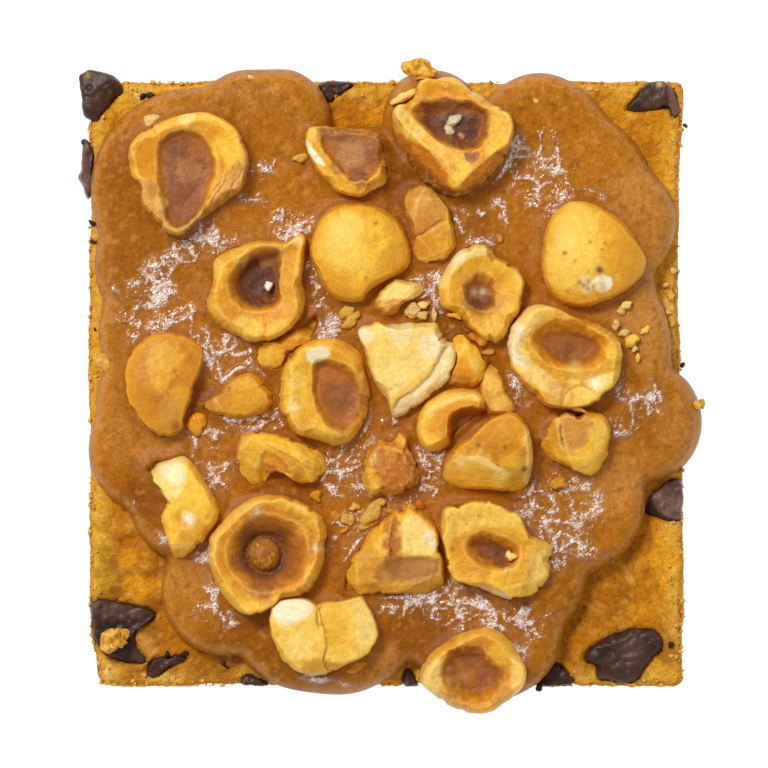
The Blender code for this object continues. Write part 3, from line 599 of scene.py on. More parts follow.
# Roasted hazelnut pieces
HAZELNUTS = (
    piece("hazelnut_01", "cup", (188, 170),
        ((199, 111), (213, 114), (226, 121), (237, 131), (244, 141), (249, 153), (249, 166), (245, 181),
         (239, 192), (227, 203), (213, 213), (198, 223), (184, 233), (173, 236), (164, 232), (156, 222),
         (149, 211), (143, 202), (142, 192), (139, 182), (131, 178), (128, 167), (129, 151), (136, 138),
         (148, 128), (163, 120), (182, 113)), 33.2, edge=0.5, dish=(1.0, 2.4), tone=GOLD_BRIGHT,
        inner=ORANGE_GOLD, rough=0.4, skin=0.3,
        hollow=hollow(
            ((157, 150), (161, 141), (169, 133), (181, 129), (193, 130), (204, 136), (212, 146), (216, 158),
             (217, 172), (213, 187), (210, 200), (204, 211), (192, 222), (178, 232), (167, 225), (163, 210),
             (162, 195), (159, 180), (157, 165)), 0.8, wall=0.7, soft=0.5, halo=0.7),
        areas=(
            (((140, 181), (148, 178), (158, 182), (164, 196), (166, 212), (170, 225), (175, 233),
              (170, 238), (158, 228), (146, 210), (139, 196)), TAN_DULL, 0.9, 0.15),
            (((238, 134), (246, 140), (254, 160), (248, 190), (216, 218), (184, 240), (180, 229),
              (200, 214), (214, 196), (224, 180), (234, 168), (238, 152)), TAN_DULL, 0.8, 0.35),
            (((236, 164), (250, 160), (252, 180), (240, 196), (190, 236), (186, 231), (206, 214),
              (226, 190)), DARK_TAN, 0.65, 0.6)),
        grooves=((234, 164, 214, 204, 0.22, 1.1), (241, 168, 224, 202, 0.22, 1.0),
            (228, 170, 206, 210, 0.16, 1.0)),
        spots=((188, 118, 8, CREAM, 0.9), (228, 150, 13, GOLD_BRIGHT, 0.9), (138, 156, 15, DEEP_GOLD, 0.9),
            (150, 134, 9, ORANGE_GOLD, 0.6), (184, 212, 20, CAVITY_WINE, 0.9),
            (180, 188, 12, CAVITY_WINE, 0.4), (190, 172, 12, CAVITY_TAN, 0.5),
            (176, 144, 12, CAVITY_WINE, 0.5), (198, 150, 9, CAVITY_BROWN, 0.5), (162, 205, 6, CREAM, 0.4))),
    piece("hazelnut_02", "cup", (352, 162),
        ((307, 130), (312, 127), (330, 127), (352, 130), (370, 131), (382, 135), (385, 147), (387, 160),
         (390, 172), (388, 184), (379, 190), (368, 194), (357, 199), (346, 197), (332, 190), (322, 178),
         (313, 165), (305, 148)), 32.6, edge=0.6, slope=(0.01, 0.004), tone=GOLD, inner=GOLD, rough=0.7,
        hollow=hollow(
            ((318, 130), (322, 118), (352, 120), (384, 124), (394, 140), (388, 152), (386, 164), (379, 175),
             (366, 182), (350, 180), (340, 173), (331, 161), (322, 147)), 0.9, wall=0.7, soft=0.4, halo=0.7,
            uneven=0.3, tone=CAVITY_BROWN, deep=CAVITY),
        areas=((((304, 143), (308, 141), (316, 151), (327, 165), (323, 168), (312, 160)), SCAR, 1.0, 0.12),
            (((364, 192), (374, 186), (388, 180), (389, 187), (378, 193), (364, 197)), CREAM, 0.9, 0.2),
            (((380, 140), (387, 150), (392, 172), (386, 180), (378, 176), (383, 160)), ORANGE_GOLD, 0.8,
             0.3)),
        spots=((352, 156, 13, CAVITY_TAN, 0.8), (309, 134, 7, GOLD_PALE, 0.8),
            (358, 178, 9, CAVITY_WINE, 0.8), (328, 136, 8, CAVITY_WINE, 0.6),
            (340, 134, 8, CAVITY_WINE, 0.5), (338, 170, 6, CAVITY_WINE, 0.6),
            (376, 160, 8, CAVITY_WINE, 0.5), (370, 138, 8, CAVITY_BROWN, 0.6),
            (348, 130, 12, CAVITY_WINE, 0.5), (372, 150, 12, CAVITY_WINE, 0.5))),
    piece("hazelnut_03", "cup", (456, 138),
        ((419, 83), (426, 78), (440, 80), (448, 78), (460, 82), (466, 91), (478, 95), (490, 104),
         (502, 108), (511, 117), (515, 128), (512, 141), (508, 153), (501, 168), (490, 181), (476, 192),
         (460, 199), (445, 199), (432, 192), (421, 180), (410, 168), (402, 154), (399, 142), (394, 130),
         (393, 116), (396, 107), (406, 105), (415, 98)), 35.2, edge=0.4, slope=(0.004, -0.01), tone=GOLD,
        inner=ORANGE_GOLD, rough=0.8, skin=0.2, facets=((222, 30, 0.17), (-50, 37, 0.17)),
        ledges=(
            (((400, 108), (404, 130), (420, 140), (436, 150), (450, 160), (457, 176), (466, 168),
              (484, 152), (504, 138), (508, 122), (494, 108), (478, 98), (462, 88), (436, 84), (418, 94)),
             -0.5, 1.0),),
        hollow=hollow(
            ((408, 112), (416, 104), (432, 100), (450, 98), (466, 101), (480, 107), (488, 112), (490, 124),
             (487, 138), (480, 150), (466, 153), (452, 150), (440, 143), (428, 134), (416, 122)), 2.2,
            wall=2.0, soft=0.6, halo=0.6, steep=(0, 0.6), tone=CAVITY_WINE, deep=CAVITY_PURPLE),
        areas=(
            (((392, 130), (396, 131), (407, 137), (420, 147), (434, 156), (445, 166), (451, 177),
              (457, 190), (457, 206), (430, 204), (400, 174), (386, 140)), SKIN_ORANGE, 1.0, 0.12),
            (((457, 190), (466, 180), (474, 170), (488, 158), (501, 152), (510, 143), (516, 130),
              (522, 150), (502, 182), (476, 200), (457, 206)), SKIN_ORANGE, 0.95, 0.15),
            # The deep skin band on the lower wall is partly its skin, partly painted shade where the wall
            # faces away
            (((404, 148), (418, 163), (436, 178), (452, 192), (458, 194), (474, 186), (488, 174),
              (502, 160), (498, 182), (476, 200), (455, 206), (428, 202), (400, 174)), SKIN_AND_SHADE, 0.85,
             0.4),
            (((396, 108), (410, 112), (420, 124), (430, 136), (442, 146), (454, 154), (466, 155),
              (472, 165), (457, 186), (450, 172), (434, 154), (418, 144), (404, 134), (396, 128)),
             GOLD_PALE, 0.7, 0.15),
            (((464, 153), (480, 152), (477, 162), (471, 167), (464, 160)), CAVITY_WINE, 0.9, 0.12),
            (((490, 107), (504, 109), (513, 118), (512, 138), (500, 150), (486, 158), (484, 150),
              (492, 136), (493, 120)), GOLD_BRIGHT, 0.8, 0.15)),
        spots=((440, 90, 11, DEEP_GOLD, 0.6), (462, 172, 8, GOLD_BRIGHT, 0.9),
            (455, 182, 6, GOLD_BRIGHT, 0.9), (418, 134, 6, CREAM, 0.6), (398, 116, 7, CREAM, 0.7),
            (500, 118, 6, CREAM, 0.4), (440, 150, 5, CREAM, 0.5), (438, 122, 12, CAVITY_PURPLE, 0.5),
            (446, 106, 8, CAVITY_ROSE, 0.2), (416, 112, 7, ORANGE_GOLD, 0.6))),
    piece("hazelnut_04", "dome", (360, 254),
        ((352, 201), (336, 205), (323, 214), (313, 229), (309, 245), (311, 262), (317, 277), (324, 290),
         (334, 301), (350, 303), (364, 302), (367, 294), (376, 286), (389, 281), (402, 275), (412, 266),
         (414, 254), (411, 240), (403, 226), (392, 213), (376, 204)), 34.4, crown=(356, 252, 57, 56, 4.2),
        rough=0.25, tone=GOLD_BRIGHT, skin=0.2,
        # The pale gold spots to the upper left are painted highlight, the deep gold ones to the right and
        # below painted shade
        spots=((345, 228, 16, GOLD_PALE, 0.8), (352, 258, 18, GOLD_PALE, 0.7),
            (330, 250, 12, GOLD_PALE, 0.4), (400, 262, 18, DEEP_GOLD, 0.7), (334, 290, 18, DEEP_GOLD, 0.6),
            (396, 228, 12, DEEP_GOLD, 0.4), (376, 224, 1.6, SKIN, 0.9), (366, 278, 1.2, SKIN, 0.7))),
    piece("hazelnut_05", "chunk", (431, 228),
        ((408, 190), (419, 186), (431, 189), (440, 197), (448, 207), (455, 225), (459, 240), (459, 248),
         (450, 257), (438, 264), (425, 267), (417, 264), (412, 254), (411, 246), (415, 241), (412, 233),
         (409, 224), (403, 210), (404, 198)), 32.3, slope=(0, 0.006),
        grooves=((412, 242, 446, 220, 0.25, 1.3),), facets=((20, 10, 0.04),), tone=GOLD, rough=0.6,
        skin=0.3,
        areas=(
            (((404, 188), (430, 186), (444, 200), (448, 216), (436, 228), (416, 241), (408, 224),
              (400, 206)), TAN_DULL, 0.85, 0.2),), spots=((425, 236, 20, TOASTED, 0.5),)),
    piece("hazelnut_06", "dome", (592, 254),
        ((573, 200), (590, 202), (606, 209), (620, 218), (631, 230), (639, 245), (647, 258), (645, 270),
         (639, 281), (629, 290), (615, 298), (598, 305), (580, 309), (565, 306), (552, 298), (545, 285),
         (541, 270), (541, 250), (543, 232), (548, 218), (559, 206)), 34.6, crown=(590, 254, 60, 60, 4.4),
        rough=0.25, tone=GOLD_BRIGHT, skin=0.2,
        areas=(
            (((588, 281), (596, 275), (606, 274), (613, 280), (613, 288), (604, 293), (594, 291)), SCAR,
             1.0, 0.12),
            (((578, 279), (590, 276), (592, 290), (582, 292), (574, 286)), GOLD_PALE, 0.9, 0.2)),
        # The pale gold spots to the left are painted highlight, the deep gold ones at the right and bottom
        # painted shade
        spots=((568, 265, 24, GOLD_PALE, 0.8), (585, 262, 16, GOLD_PALE, 0.6),
            (575, 225, 22, GOLD_PALE, 0.5), (630, 255, 22, DEEP_GOLD, 0.7), (590, 300, 20, DEEP_GOLD, 0.4),
            (585, 284, 7, SCAR, 0.4), (582, 285, 2.4, SKIN, 0.8), (578, 282, 2.0, SKIN, 0.8),
            (587, 281, 2.0, SKIN, 0.7), (586, 288, 2.0, SKIN, 0.7), (592, 286, 1.6, SKIN, 0.6),
            (599, 270, 3.4, CAVITY_DARK, 1.0), (564, 253, 2.0, SKIN, 0.9), (590, 242, 1.4, SKIN, 0.8),
            (601, 250, 1.5, SKIN, 0.8), (604, 244, 1.4, SKIN, 0.7), (575, 261, 1.3, SKIN, 0.7),
            (588, 272, 1.3, SKIN, 0.7), (566, 291, 1.4, SKIN, 0.7))),
    piece("hazelnut_07", "cup", (262, 290),
        ((212, 261), (224, 250), (240, 245), (256, 240), (272, 240), (290, 243), (295, 236), (303, 233),
         (308, 237), (305, 247), (305, 262), (303, 277), (306, 292), (306, 308), (300, 321), (290, 332),
         (277, 340), (262, 343), (248, 342), (232, 334), (218, 325), (209, 314), (206, 303), (212, 293),
         (215, 284), (213, 275)), 33.5, edge=0.7, dish=(0.5, 2.0), tone=GOLD, inner=ORANGE_GOLD, rough=0.5,
        skin=0.3,
        hollow=hollow(
            ((252, 250), (268, 247), (283, 250), (281, 268), (279, 288), (283, 303), (270, 311), (252, 311),
             (238, 306), (228, 292), (227, 277), (236, 264)), 2.8, wall=2.4, soft=1.2, halo=1.0,
            steep=(0, 0.85), tone=CAVITY_BROWN, deep=CAVITY_DARK),
        areas=(
            (((244, 262), (262, 254), (280, 256), (279, 290), (276, 304), (256, 308), (240, 298),
              (236, 280)), CAVITY_PURPLE, 0.95, 0.5),
            (((258, 248), (284, 248), (284, 262), (270, 268), (258, 262)), CAVITY_ROSE, 0.7, 0.3)),
        spots=((235, 320, 14, DARK_TAN, 0.25), (240, 252, 10, GOLD_PALE, 0.6), (300, 240, 6, CREAM, 0.8),
            (250, 328, 12, GOLD_PALE, 0.7), (278, 330, 10, GOLD_PALE, 0.5), (218, 268, 9, GOLD_PALE, 0.6),
            (297, 290, 7, TAN, 0.6), (296, 312, 7, TAN, 0.5))),
    piece("hazelnut_08", "cup", (482, 293),
        ((475, 243), (488, 245), (498, 257), (510, 264), (522, 271), (528, 281), (523, 293), (521, 306),
         (515, 319), (507, 335), (497, 343), (484, 343), (472, 331), (462, 319), (451, 311), (440, 308),
         (437, 297), (437, 284), (441, 272), (450, 260), (461, 249)), 33.0, edge=0.5, dish=(0.6, 2.6),
        tone=GOLD, inner=GOLD, rough=0.5, skin=0.2,
        hollow=hollow(
            ((464, 280), (474, 273), (487, 274), (496, 283), (498, 297), (492, 309), (478, 312), (466, 305),
             (461, 292)), 1.5, wall=1.8, soft=1.4, halo=1.2, uneven=0.3, streaks=0.5, tone=CAVITY_BROWN,
            deep=CAVITY_DARK),
        areas=(
            (((440, 278), (446, 262), (458, 248), (476, 241), (487, 245), (485, 258), (472, 256),
              (461, 263), (452, 273), (446, 286), (439, 290)), CREAM, 1.0, 0.15),
            (((484, 243), (495, 243), (497, 256), (491, 263), (485, 257)), SAUCE, 1.0, 0.15)),
        spots=((461, 250, 10, CREAM, 0.8), (480, 298, 15, CAVITY_WINE, 0.7), (474, 291, 4, SCAR_GREY, 0.5),
            (480, 288, 3, CAVITY_DARK, 0.5), (484, 291, 3.5, SCAR_GREY, 0.7),
            (490, 292, 3, CAVITY_TAN, 0.7), (470, 302, 5, CAVITY_DARK, 0.6),
            (476, 303, 5, CAVITY_DARK, 0.8), (482, 303, 5, CAVITY_DARK, 0.8),
            (488, 302, 5, CAVITY_DARK, 0.7), (476, 311, 4, SKIN, 0.6), (484, 311, 4, SKIN, 0.6),
            (452, 252, 12, SCAR, 0.7), (490, 330, 12, GOLD_PALE, 0.4), (520, 276, 7, GOLD_PALE, 0.8))),
    piece("hazelnut_09", "cup", (565, 357),
        ((530, 304), (545, 305), (558, 308), (571, 315), (590, 319), (605, 326), (616, 336), (625, 347),
         (622, 361), (621, 376), (614, 388), (603, 393), (598, 402), (582, 408), (563, 408), (546, 406),
         (535, 398), (522, 385), (512, 370), (507, 355), (507, 340), (511, 327), (520, 314)), 33.9,
        edge=0.45, slope=(0, 0.01), dish=(0.6, 1.8), tone=GOLD, inner=GOLD, rough=0.7, skin=0.15,
        hollow=hollow(
            ((529, 345), (535, 329), (550, 320), (575, 319), (598, 328), (610, 343), (604, 360), (590, 371),
             (566, 371), (545, 364)), 2.3, wall=2.2, soft=2.4, halo=1.0, tone=ORANGE_GOLD, deep=TOASTED),
        areas=(
            (((539, 341), (551, 330), (574, 330), (592, 337), (601, 347), (596, 359), (582, 368),
              (565, 366), (550, 357)), CAVITY_WINE, 0.8, 0.35),
            (((524, 304), (546, 302), (541, 318), (531, 328), (526, 345), (531, 360), (546, 374),
              (562, 388), (560, 398), (546, 395), (528, 380), (513, 364), (505, 348), (508, 324)), CREAM,
             0.9, 0.2),
            (((507, 330), (519, 318), (524, 332), (520, 350), (528, 366), (518, 366), (507, 352)), SCAR,
             0.9, 0.3),
            (((562, 388), (570, 374), (590, 375), (612, 368), (622, 372), (616, 390), (600, 396),
              (584, 408), (562, 406)), GOLD_PALE, 0.85, 0.15),
            (((588, 376), (606, 373), (612, 380), (602, 392), (590, 388)), CREAM, 0.8, 0.2),
            (((505, 356), (518, 372), (534, 388), (552, 400), (562, 410), (542, 410), (516, 384)),
             DEEP_GOLD, 0.9, 0.2)),
        ledges=(
            (((562, 388), (570, 374), (590, 375), (612, 368), (624, 370), (620, 392), (600, 398),
              (584, 410), (560, 410)), -0.4, 0.5),
            (((566, 392), (578, 386), (590, 388), (600, 398), (582, 410), (562, 410)), 0.3, 0.15)),
        spots=((566, 352, 10, CAVITY_DARK, 0.3), (560, 395, 14, TAN_DULL, 0.45),
            (524, 345, 9, GOLD_BRIGHT, 0.5), (612, 350, 9, GOLD_BRIGHT, 0.8), (595, 384, 5, SCAR, 0.9),
            (575, 368, 5, CREAM, 0.7), (545, 312, 7, GOLD_PALE, 0.6))),
    piece("hazelnut_10", "chunk", (400, 299),
        ((395, 279), (409, 282), (421, 284), (427, 288), (421, 295), (411, 302), (401, 308), (396, 317),
         (388, 319), (380, 313), (374, 309), (373, 302), (378, 292), (386, 284)), 32.4,
        facets=((-55, 3, 0.13),), tone=CREAM, rough=0.6, skin=0.1,
        areas=(
            (((372, 303), (386, 300), (402, 300), (412, 303), (400, 322), (372, 314)), TAN_WARM, 0.8, 0.2),
            (((388, 308), (402, 304), (398, 320), (388, 320)), RUST, 0.7, 0.25))),
    piece("hazelnut_11", "chunk", (405, 365),
        ((357, 330), (362, 325), (370, 324), (377, 321), (386, 326), (397, 324), (410, 321), (420, 320),
         (430, 320), (438, 322), (442, 331), (449, 341), (456, 343), (459, 353), (456, 365), (451, 377),
         (445, 385), (436, 393), (424, 400), (413, 407), (402, 415), (392, 419), (389, 411), (386, 402),
         (380, 393), (374, 381), (369, 370), (365, 355), (361, 345)), 33.0, edge=0.45, slope=(0.004, 0.01),
        facets=((-47, 30, 0.05), (165, 28, 0.05)), chips=0.25,
        ledges=(
            (((444, 345), (457, 341), (463, 356), (448, 388), (424, 404), (390, 424), (391, 402),
              (410, 390), (434, 368)), -0.45, 0.18),), tone=CREAM, rough=0.5, skin=0.0,
        areas=(
            (((443, 345), (457, 343), (461, 356), (446, 386), (424, 402), (392, 421), (392, 404),
              (410, 390), (432, 368)), SCAR, 0.45, 0.12),
            (((441, 350), (431, 364), (416, 376), (402, 388), (389, 396), (391, 405), (408, 391),
              (434, 367)), GOLD_BRIGHT, 0.75, 0.2)),
        spots=((400, 333, 12, SCAR, 0.5), (431, 345, 12, SCAR, 0.6), (378, 350, 16, GOLD_PALE, 0.45),
            (364, 336, 8, SCAR, 0.8), (386, 388, 3, TAN, 0.6), (410, 350, 20, GOLD_PALE, 0.2))),
    piece("hazelnut_12", "dome", (163, 386),
        ((165, 331), (178, 333), (190, 338), (200, 345), (205, 351), (203, 363), (200, 375), (195, 385),
         (192, 397), (187, 409), (183, 420), (184, 430), (178, 436), (165, 439), (154, 434), (141, 421),
         (131, 407), (126, 392), (125, 375), (126, 361), (131, 350), (142, 339), (153, 333)), 33.7,
        edge=0.3, crown=(166, 384, 47, 62, 3.0), rough=0.5, tone=OCHRE, skin=0.7,
        spots=((165, 378, 24, TAN, 0.4), (160, 386, 5, GOLD_BRIGHT, 0.5), (164, 362, 18, GOLD_BRIGHT, 0.4),
            (182, 400, 12, GOLD, 0.4), (170, 410, 12, TAN_DULL, 0.7), (177, 427, 5, SKIN, 0.8),
            (165, 402, 4, TAN_DULL, 0.6), (140, 372, 10, SKIN_GOLD, 0.5), (148, 408, 12, SKIN_GOLD, 0.5),
            (186, 372, 8, TAN_WARM, 0.5), (175, 372, 1.8, SKIN, 0.7))),
    piece("hazelnut_13", "chunk", (240, 398),
        ((230, 379), (240, 371), (250, 370), (258, 374), (263, 380), (271, 387), (276, 395), (275, 405),
         (270, 413), (262, 417), (250, 419), (235, 420), (220, 419), (209, 415), (199, 410), (200, 405),
         (210, 399), (218, 392), (224, 385)), 32.2, crown=(240, 396, 50, 38, 1.6), tone=MOTTLED, rough=0.4,
        skin=0.5,
        spots=((226, 395, 18, DARK_TAN, 0.3), (222, 405, 12, TAN_DULL, 0.4), (246, 392, 14, GOLD, 0.4),
            (240, 412, 16, DEEP_GOLD, 0.5), (231, 388, 1.8, SKIN, 0.8))),
    piece("hazelnut_14", "chunk", (285, 347),
        ((253, 345), (268, 342), (284, 335), (298, 326), (309, 315), (317, 310), (322, 315), (321, 329),
         (313, 340), (302, 346), (293, 354), (287, 363), (281, 370), (270, 373), (262, 369), (257, 359)),
        31.5, crown=(285, 348, 60, 40, 0.8), tone=DEEP_GOLD, rough=0.4, skin=0.5,
        spots=((268, 352, 14, GOLD, 0.6), (310, 325, 8, TAN, 0.6), (286, 353, 2, SKIN, 0.7))),
    piece("hazelnut_15", "cup", (325, 391),
        ((311, 340), (325, 336), (340, 339), (352, 346), (362, 355), (366, 369), (369, 385), (371, 400),
         (368, 413), (364, 425), (358, 435), (350, 442), (340, 446), (328, 445), (314, 440), (300, 436),
         (288, 428), (281, 414), (278, 400), (279, 384), (283, 369), (291, 354), (300, 345)), 33.8, ease=2,
        edge=0.9, slope=(-0.014, 0), dish=(0.4, 1.4), tone=GOLD_BRIGHT, inner=GOLD, rough=0.35, skin=0.2,
        hollow=hollow(
            ((314, 361), (330, 359), (348, 366), (361, 378), (370, 392), (372, 410), (364, 428), (347, 437),
             (331, 430), (320, 416), (315, 395), (314, 376)), 1.6, wall=1.6, soft=0.9, halo=0.3,
            steep=(180, 0.75), tone=CAVITY_BROWN, deep=CAVITY_BROWN),
        areas=((((306, 352), (314, 347), (330, 348), (330, 358), (322, 362), (309, 364)), SCAR, 0.85, 0.2),
            (((330, 342), (350, 346), (363, 358), (366, 374), (354, 374), (340, 364), (330, 356)),
             DEEP_GOLD, 0.9, 0.35),
            (((352, 378), (366, 380), (374, 400), (366, 425), (352, 440), (344, 434), (356, 420),
              (360, 400)), DEEP_GOLD, 0.7, 0.5)),
        spots=((297, 380, 9, GOLD_PALE, 1.0), (296, 402, 9, GOLD_PALE, 0.9), (293, 408, 4, SCAR, 0.6),
            (352, 398, 16, CAVITY_WINE, 0.4), (311, 385, 5, ORANGE_GOLD, 0.9),
            (313, 405, 5, ORANGE_GOLD, 0.8), (300, 428, 10, TAN_DULL, 0.6), (335, 440, 10, TAN_DULL, 0.5),
            (338, 398, 15, CAVITY_WINE, 0.6))),
    piece("hazelnut_16", "cup", (449, 416),
        ((418, 441), (415, 430), (417, 418), (422, 406), (430, 397), (440, 391), (452, 388), (465, 388),
         (478, 391), (486, 396), (488, 404), (485, 412), (478, 418), (467, 426), (459, 433), (453, 441),
         (448, 449), (438, 452), (427, 450)), 32.9, edge=0.9, tone=GOLD_BRIGHT, inner=ORANGE_GOLD,
        rough=0.4, skin=0.15,
        hollow=hollow(
            ((446, 420), (452, 412), (464, 407), (478, 407), (492, 408), (484, 424), (466, 430), (458, 442),
             (452, 452), (446, 440)), 2.6, wall=1.0, soft=0.5, halo=0.8, tone=CAVITY_BROWN,
            deep=CAVITY_DARK),
        areas=(
            (((424, 412), (434, 400), (450, 393), (470, 391), (484, 396), (484, 402), (466, 399),
              (450, 402), (438, 410), (430, 422)), CREAM, 0.7, 0.5),),
        spots=((462, 424, 4, CAVITY_ROSE, 0.7), (455, 430, 4, TAN_DULL, 0.6),
            (430, 442, 8, GOLD_BRIGHT, 0.7))),
    piece("hazelnut_17", "chunk", (467, 364),
        ((451, 338), (455, 331), (461, 331), (467, 338), (474, 345), (481, 352), (486, 361), (485, 373),
         (482, 384), (472, 388), (458, 388), (447, 387), (446, 379), (452, 368), (455, 357), (453, 346)),
        31.8, facets=((-90, 4, 0.05), (20, 6, 0.05)), tone=GOLD, rough=0.5, skin=0.1,
        spots=((468, 352, 8, GOLD_BRIGHT, 0.9), (462, 374, 12, ORANGE_GOLD, 0.9),
            (476, 364, 7, GOLD_PALE, 0.6), (462, 384, 9, DARK_TAN, 0.8), (452, 380, 6, DARK_TAN, 0.6))),
    piece("hazelnut_18", "chunk", (494, 392),
        ((482, 372), (485, 358), (489, 350), (494, 356), (499, 370), (506, 384), (513, 398), (519, 411),
         (510, 416), (498, 416), (487, 415), (482, 403), (479, 392), (480, 382)), 31.3,
        facets=((40, 5, 0.04),), tone=FACE_TAN, rough=0.4, skin=0.1,
        spots=((488, 362, 7, TAN_DULL, 0.7), (492, 382, 9, GOLD_PALE, 0.7),
            (503, 404, 10, GOLD_PALE, 0.6))),
    piece("hazelnut_19", "dome", (489, 456),
        ((442, 471), (446, 459), (453, 448), (464, 439), (475, 430), (487, 420), (500, 414), (511, 411),
         (520, 415), (527, 423), (531, 435), (533, 448), (534, 465), (531, 478), (528, 489), (520, 495),
         (508, 493), (497, 491), (480, 490), (462, 488), (450, 484), (442, 478)), 35.0, edge=0.5,
        crown=(495, 446, 66, 58, 3.6), facets=((-100, 6, 0.08), (-30, 24, 0.05)), tone=SKIN_GOLD, rough=0.5,
        skin=0.6,
        areas=(
            (((440, 472), (447, 460), (461, 457), (478, 459), (494, 466), (508, 477), (520, 496),
              (495, 494), (458, 490), (440, 482)), FACE_GOLD, 0.85, 0.12),
            (((451, 462), (462, 457), (480, 456), (494, 463), (508, 474), (505, 477), (490, 468),
              (476, 461), (462, 464)), CREAM, 0.8, 0.12),
            (((496, 462), (512, 450), (528, 460), (530, 488), (518, 494), (508, 478)), GOLD, 0.6, 0.4),
            (((524, 422), (532, 432), (535, 460), (532, 482), (527, 492), (524, 478), (527, 456),
              (524, 438)), CREAM, 0.8, 0.15)),
        spots=((461, 461, 5, CREAM, 1.0), (500, 476, 8, CREAM, 0.5), (524, 469, 3, CAVITY_DARK, 1.0),
            (478, 446, 2, SKIN, 0.9), (470, 434, 2, SKIN, 0.7), (505, 447, 2.2, SKIN, 0.8),
            (510, 430, 12, DEEP_GOLD, 0.6), (480, 430, 10, TAN_WARM, 0.7), (527, 440, 6, GOLD_PALE, 0.6))),
    piece("hazelnut_20", "chunk", (578, 441),
        ((556, 419), (566, 411), (580, 412), (592, 409), (601, 411), (607, 417), (611, 427), (611, 441),
         (609, 453), (606, 463), (598, 472), (590, 475), (581, 473), (569, 469), (559, 465), (550, 461),
         (542, 453), (534, 446), (533, 440), (544, 437), (547, 428)), 33.2,
        facets=((200, 15, 0.1), (-10, 12, 0.04), (-80, 16, 0.07)),
        grooves=((560, 426, 561, 448, 0.35, 1.1),), tone=GOLD, rough=0.4, skin=0.2,
        areas=(
            (((560, 413), (580, 411), (592, 416), (592, 436), (580, 446), (562, 448), (558, 432)), TAN_DULL,
             0.95, 0.12),
            (((546, 426), (556, 419), (559, 434), (557, 450), (546, 450), (536, 443)), TAN_WARM, 0.7, 0.2),
            (((536, 447), (548, 452), (560, 460), (575, 468), (560, 470), (544, 460)), DARK_TAN, 0.7, 0.2)),
        spots=((599, 436, 11, GOLD_PALE, 0.7), (566, 450, 7, TAN_DULL, 0.6), (560, 441, 2.6, RUST, 0.8),
            (590, 462, 9, GOLD_BRIGHT, 0.5))),
    piece("hazelnut_21", "chunk", (276, 455),
        ((241, 435), (251, 431), (263, 431), (278, 433), (292, 437), (305, 443), (318, 450), (328, 459),
         (331, 468), (325, 477), (313, 482), (303, 484), (293, 480), (284, 472), (276, 469), (268, 474),
         (264, 483), (257, 489), (248, 488), (243, 480), (238, 470), (236, 458), (238, 445)), 33.2,
        facets=((70, 8, 0.05), (-110, 8, 0.06)),
        ledges=(
            (((264, 450), (272, 452), (286, 463), (290, 474), (278, 472), (268, 480), (260, 486),
              (258, 468)), -0.7, 0.4),
            (((262, 440), (278, 440), (300, 450), (322, 466), (318, 470), (296, 458), (276, 448)), 0.25,
             0.15)), tone=GOLD, rough=0.4, skin=0.2,
        areas=(
            # The warm tan area over the lowered ledge is painted shade in that recess
            (((262, 456), (272, 450), (290, 456), (308, 470), (300, 480), (286, 474), (276, 468),
              (268, 476), (262, 470)), TAN_WARM, 0.9, 0.3),
            (((244, 438), (262, 433), (290, 441), (326, 462), (310, 460), (286, 450), (266, 446),
              (250, 448)), GOLD_BRIGHT, 0.8, 0.3)),
        spots=((250, 450, 13, TAN, 0.4), (248, 470, 9, GOLD_PALE, 0.5), (270, 466, 6, DARK_TAN, 0.6),
            (300, 446, 8, GOLD_PALE, 0.4))),
    piece("hazelnut_22", "chunk", (390, 466),
        ((372, 445), (379, 439), (389, 441), (396, 437), (400, 431), (409, 434), (408, 445), (414, 452),
         (419, 462), (422, 472), (418, 482), (412, 490), (402, 495), (391, 497), (379, 494), (368, 497),
         (363, 490), (361, 478), (361, 465), (365, 454)), 33.0, edge=0.6, crown=(390, 466, 44, 46, 1.6),
        tone=RUST, rough=2.0, skin=0.5,
        areas=((((360, 470), (368, 462), (378, 474), (380, 494), (362, 498)), GOLD, 0.8, 0.4),
            (((396, 432), (410, 432), (408, 446), (398, 448)), DEEP_GOLD, 0.9, 0.3),
            (((392, 462), (410, 452), (422, 472), (414, 490), (396, 494), (386, 486)), RUST, 0.6, 0.7)),
        spots=((374, 457, 5, CREAM, 0.6), (384, 464, 9, TOASTED, 0.6), (396, 474, 6, RUST, 0.6))),
    piece("hazelnut_23", "chunk", (188, 508),
        ((139, 469), (149, 461), (153, 456), (170, 456), (183, 450), (190, 455), (197, 463), (203, 475),
         (210, 487), (217, 499), (223, 510), (220, 519), (212, 530), (205, 540), (196, 550), (185, 558),
         (175, 559), (170, 551), (166, 540), (163, 528), (159, 517), (163, 508), (168, 502), (163, 494),
         (155, 483), (147, 476)), 33.4, edge=0.8, crown=(193, 506, 62, 62, 1.6), facets=((145, 30, 0.03),),
        tone=GOLD_BRIGHT, rough=0.4, skin=0.1,
        areas=(
            (((137, 470), (150, 458), (170, 455), (187, 449), (189, 468), (186, 488), (176, 500),
              (166, 500), (154, 484)), CREAM, 0.95, 0.15),
            (((155, 468), (170, 460), (186, 466), (184, 486), (170, 484)), SCAR, 0.7, 0.5),
            (((170, 540), (190, 534), (208, 530), (198, 550), (182, 562), (170, 556)), DEEP_GOLD, 0.7,
             0.4)), ledges=((((180, 508), (190, 505), (196, 516), (190, 526), (178, 524)), -0.35, 0.5),),
        spots=((195, 532, 15, TAN, 0.6), (190, 517, 5, WHITE_BIT, 1.0), (176, 516, 5, TAN, 0.5),
            (206, 496, 7, GOLD_PALE, 0.4), (146, 470, 5, TAN, 0.6))),
    piece("hazelnut_24", "cup", (267, 554),
        ((262, 494), (276, 495), (290, 497), (303, 503), (315, 511), (325, 519), (329, 532), (328, 545),
         (326, 560), (320, 575), (312, 587), (300, 596), (290, 599), (275, 604), (262, 611), (248, 614),
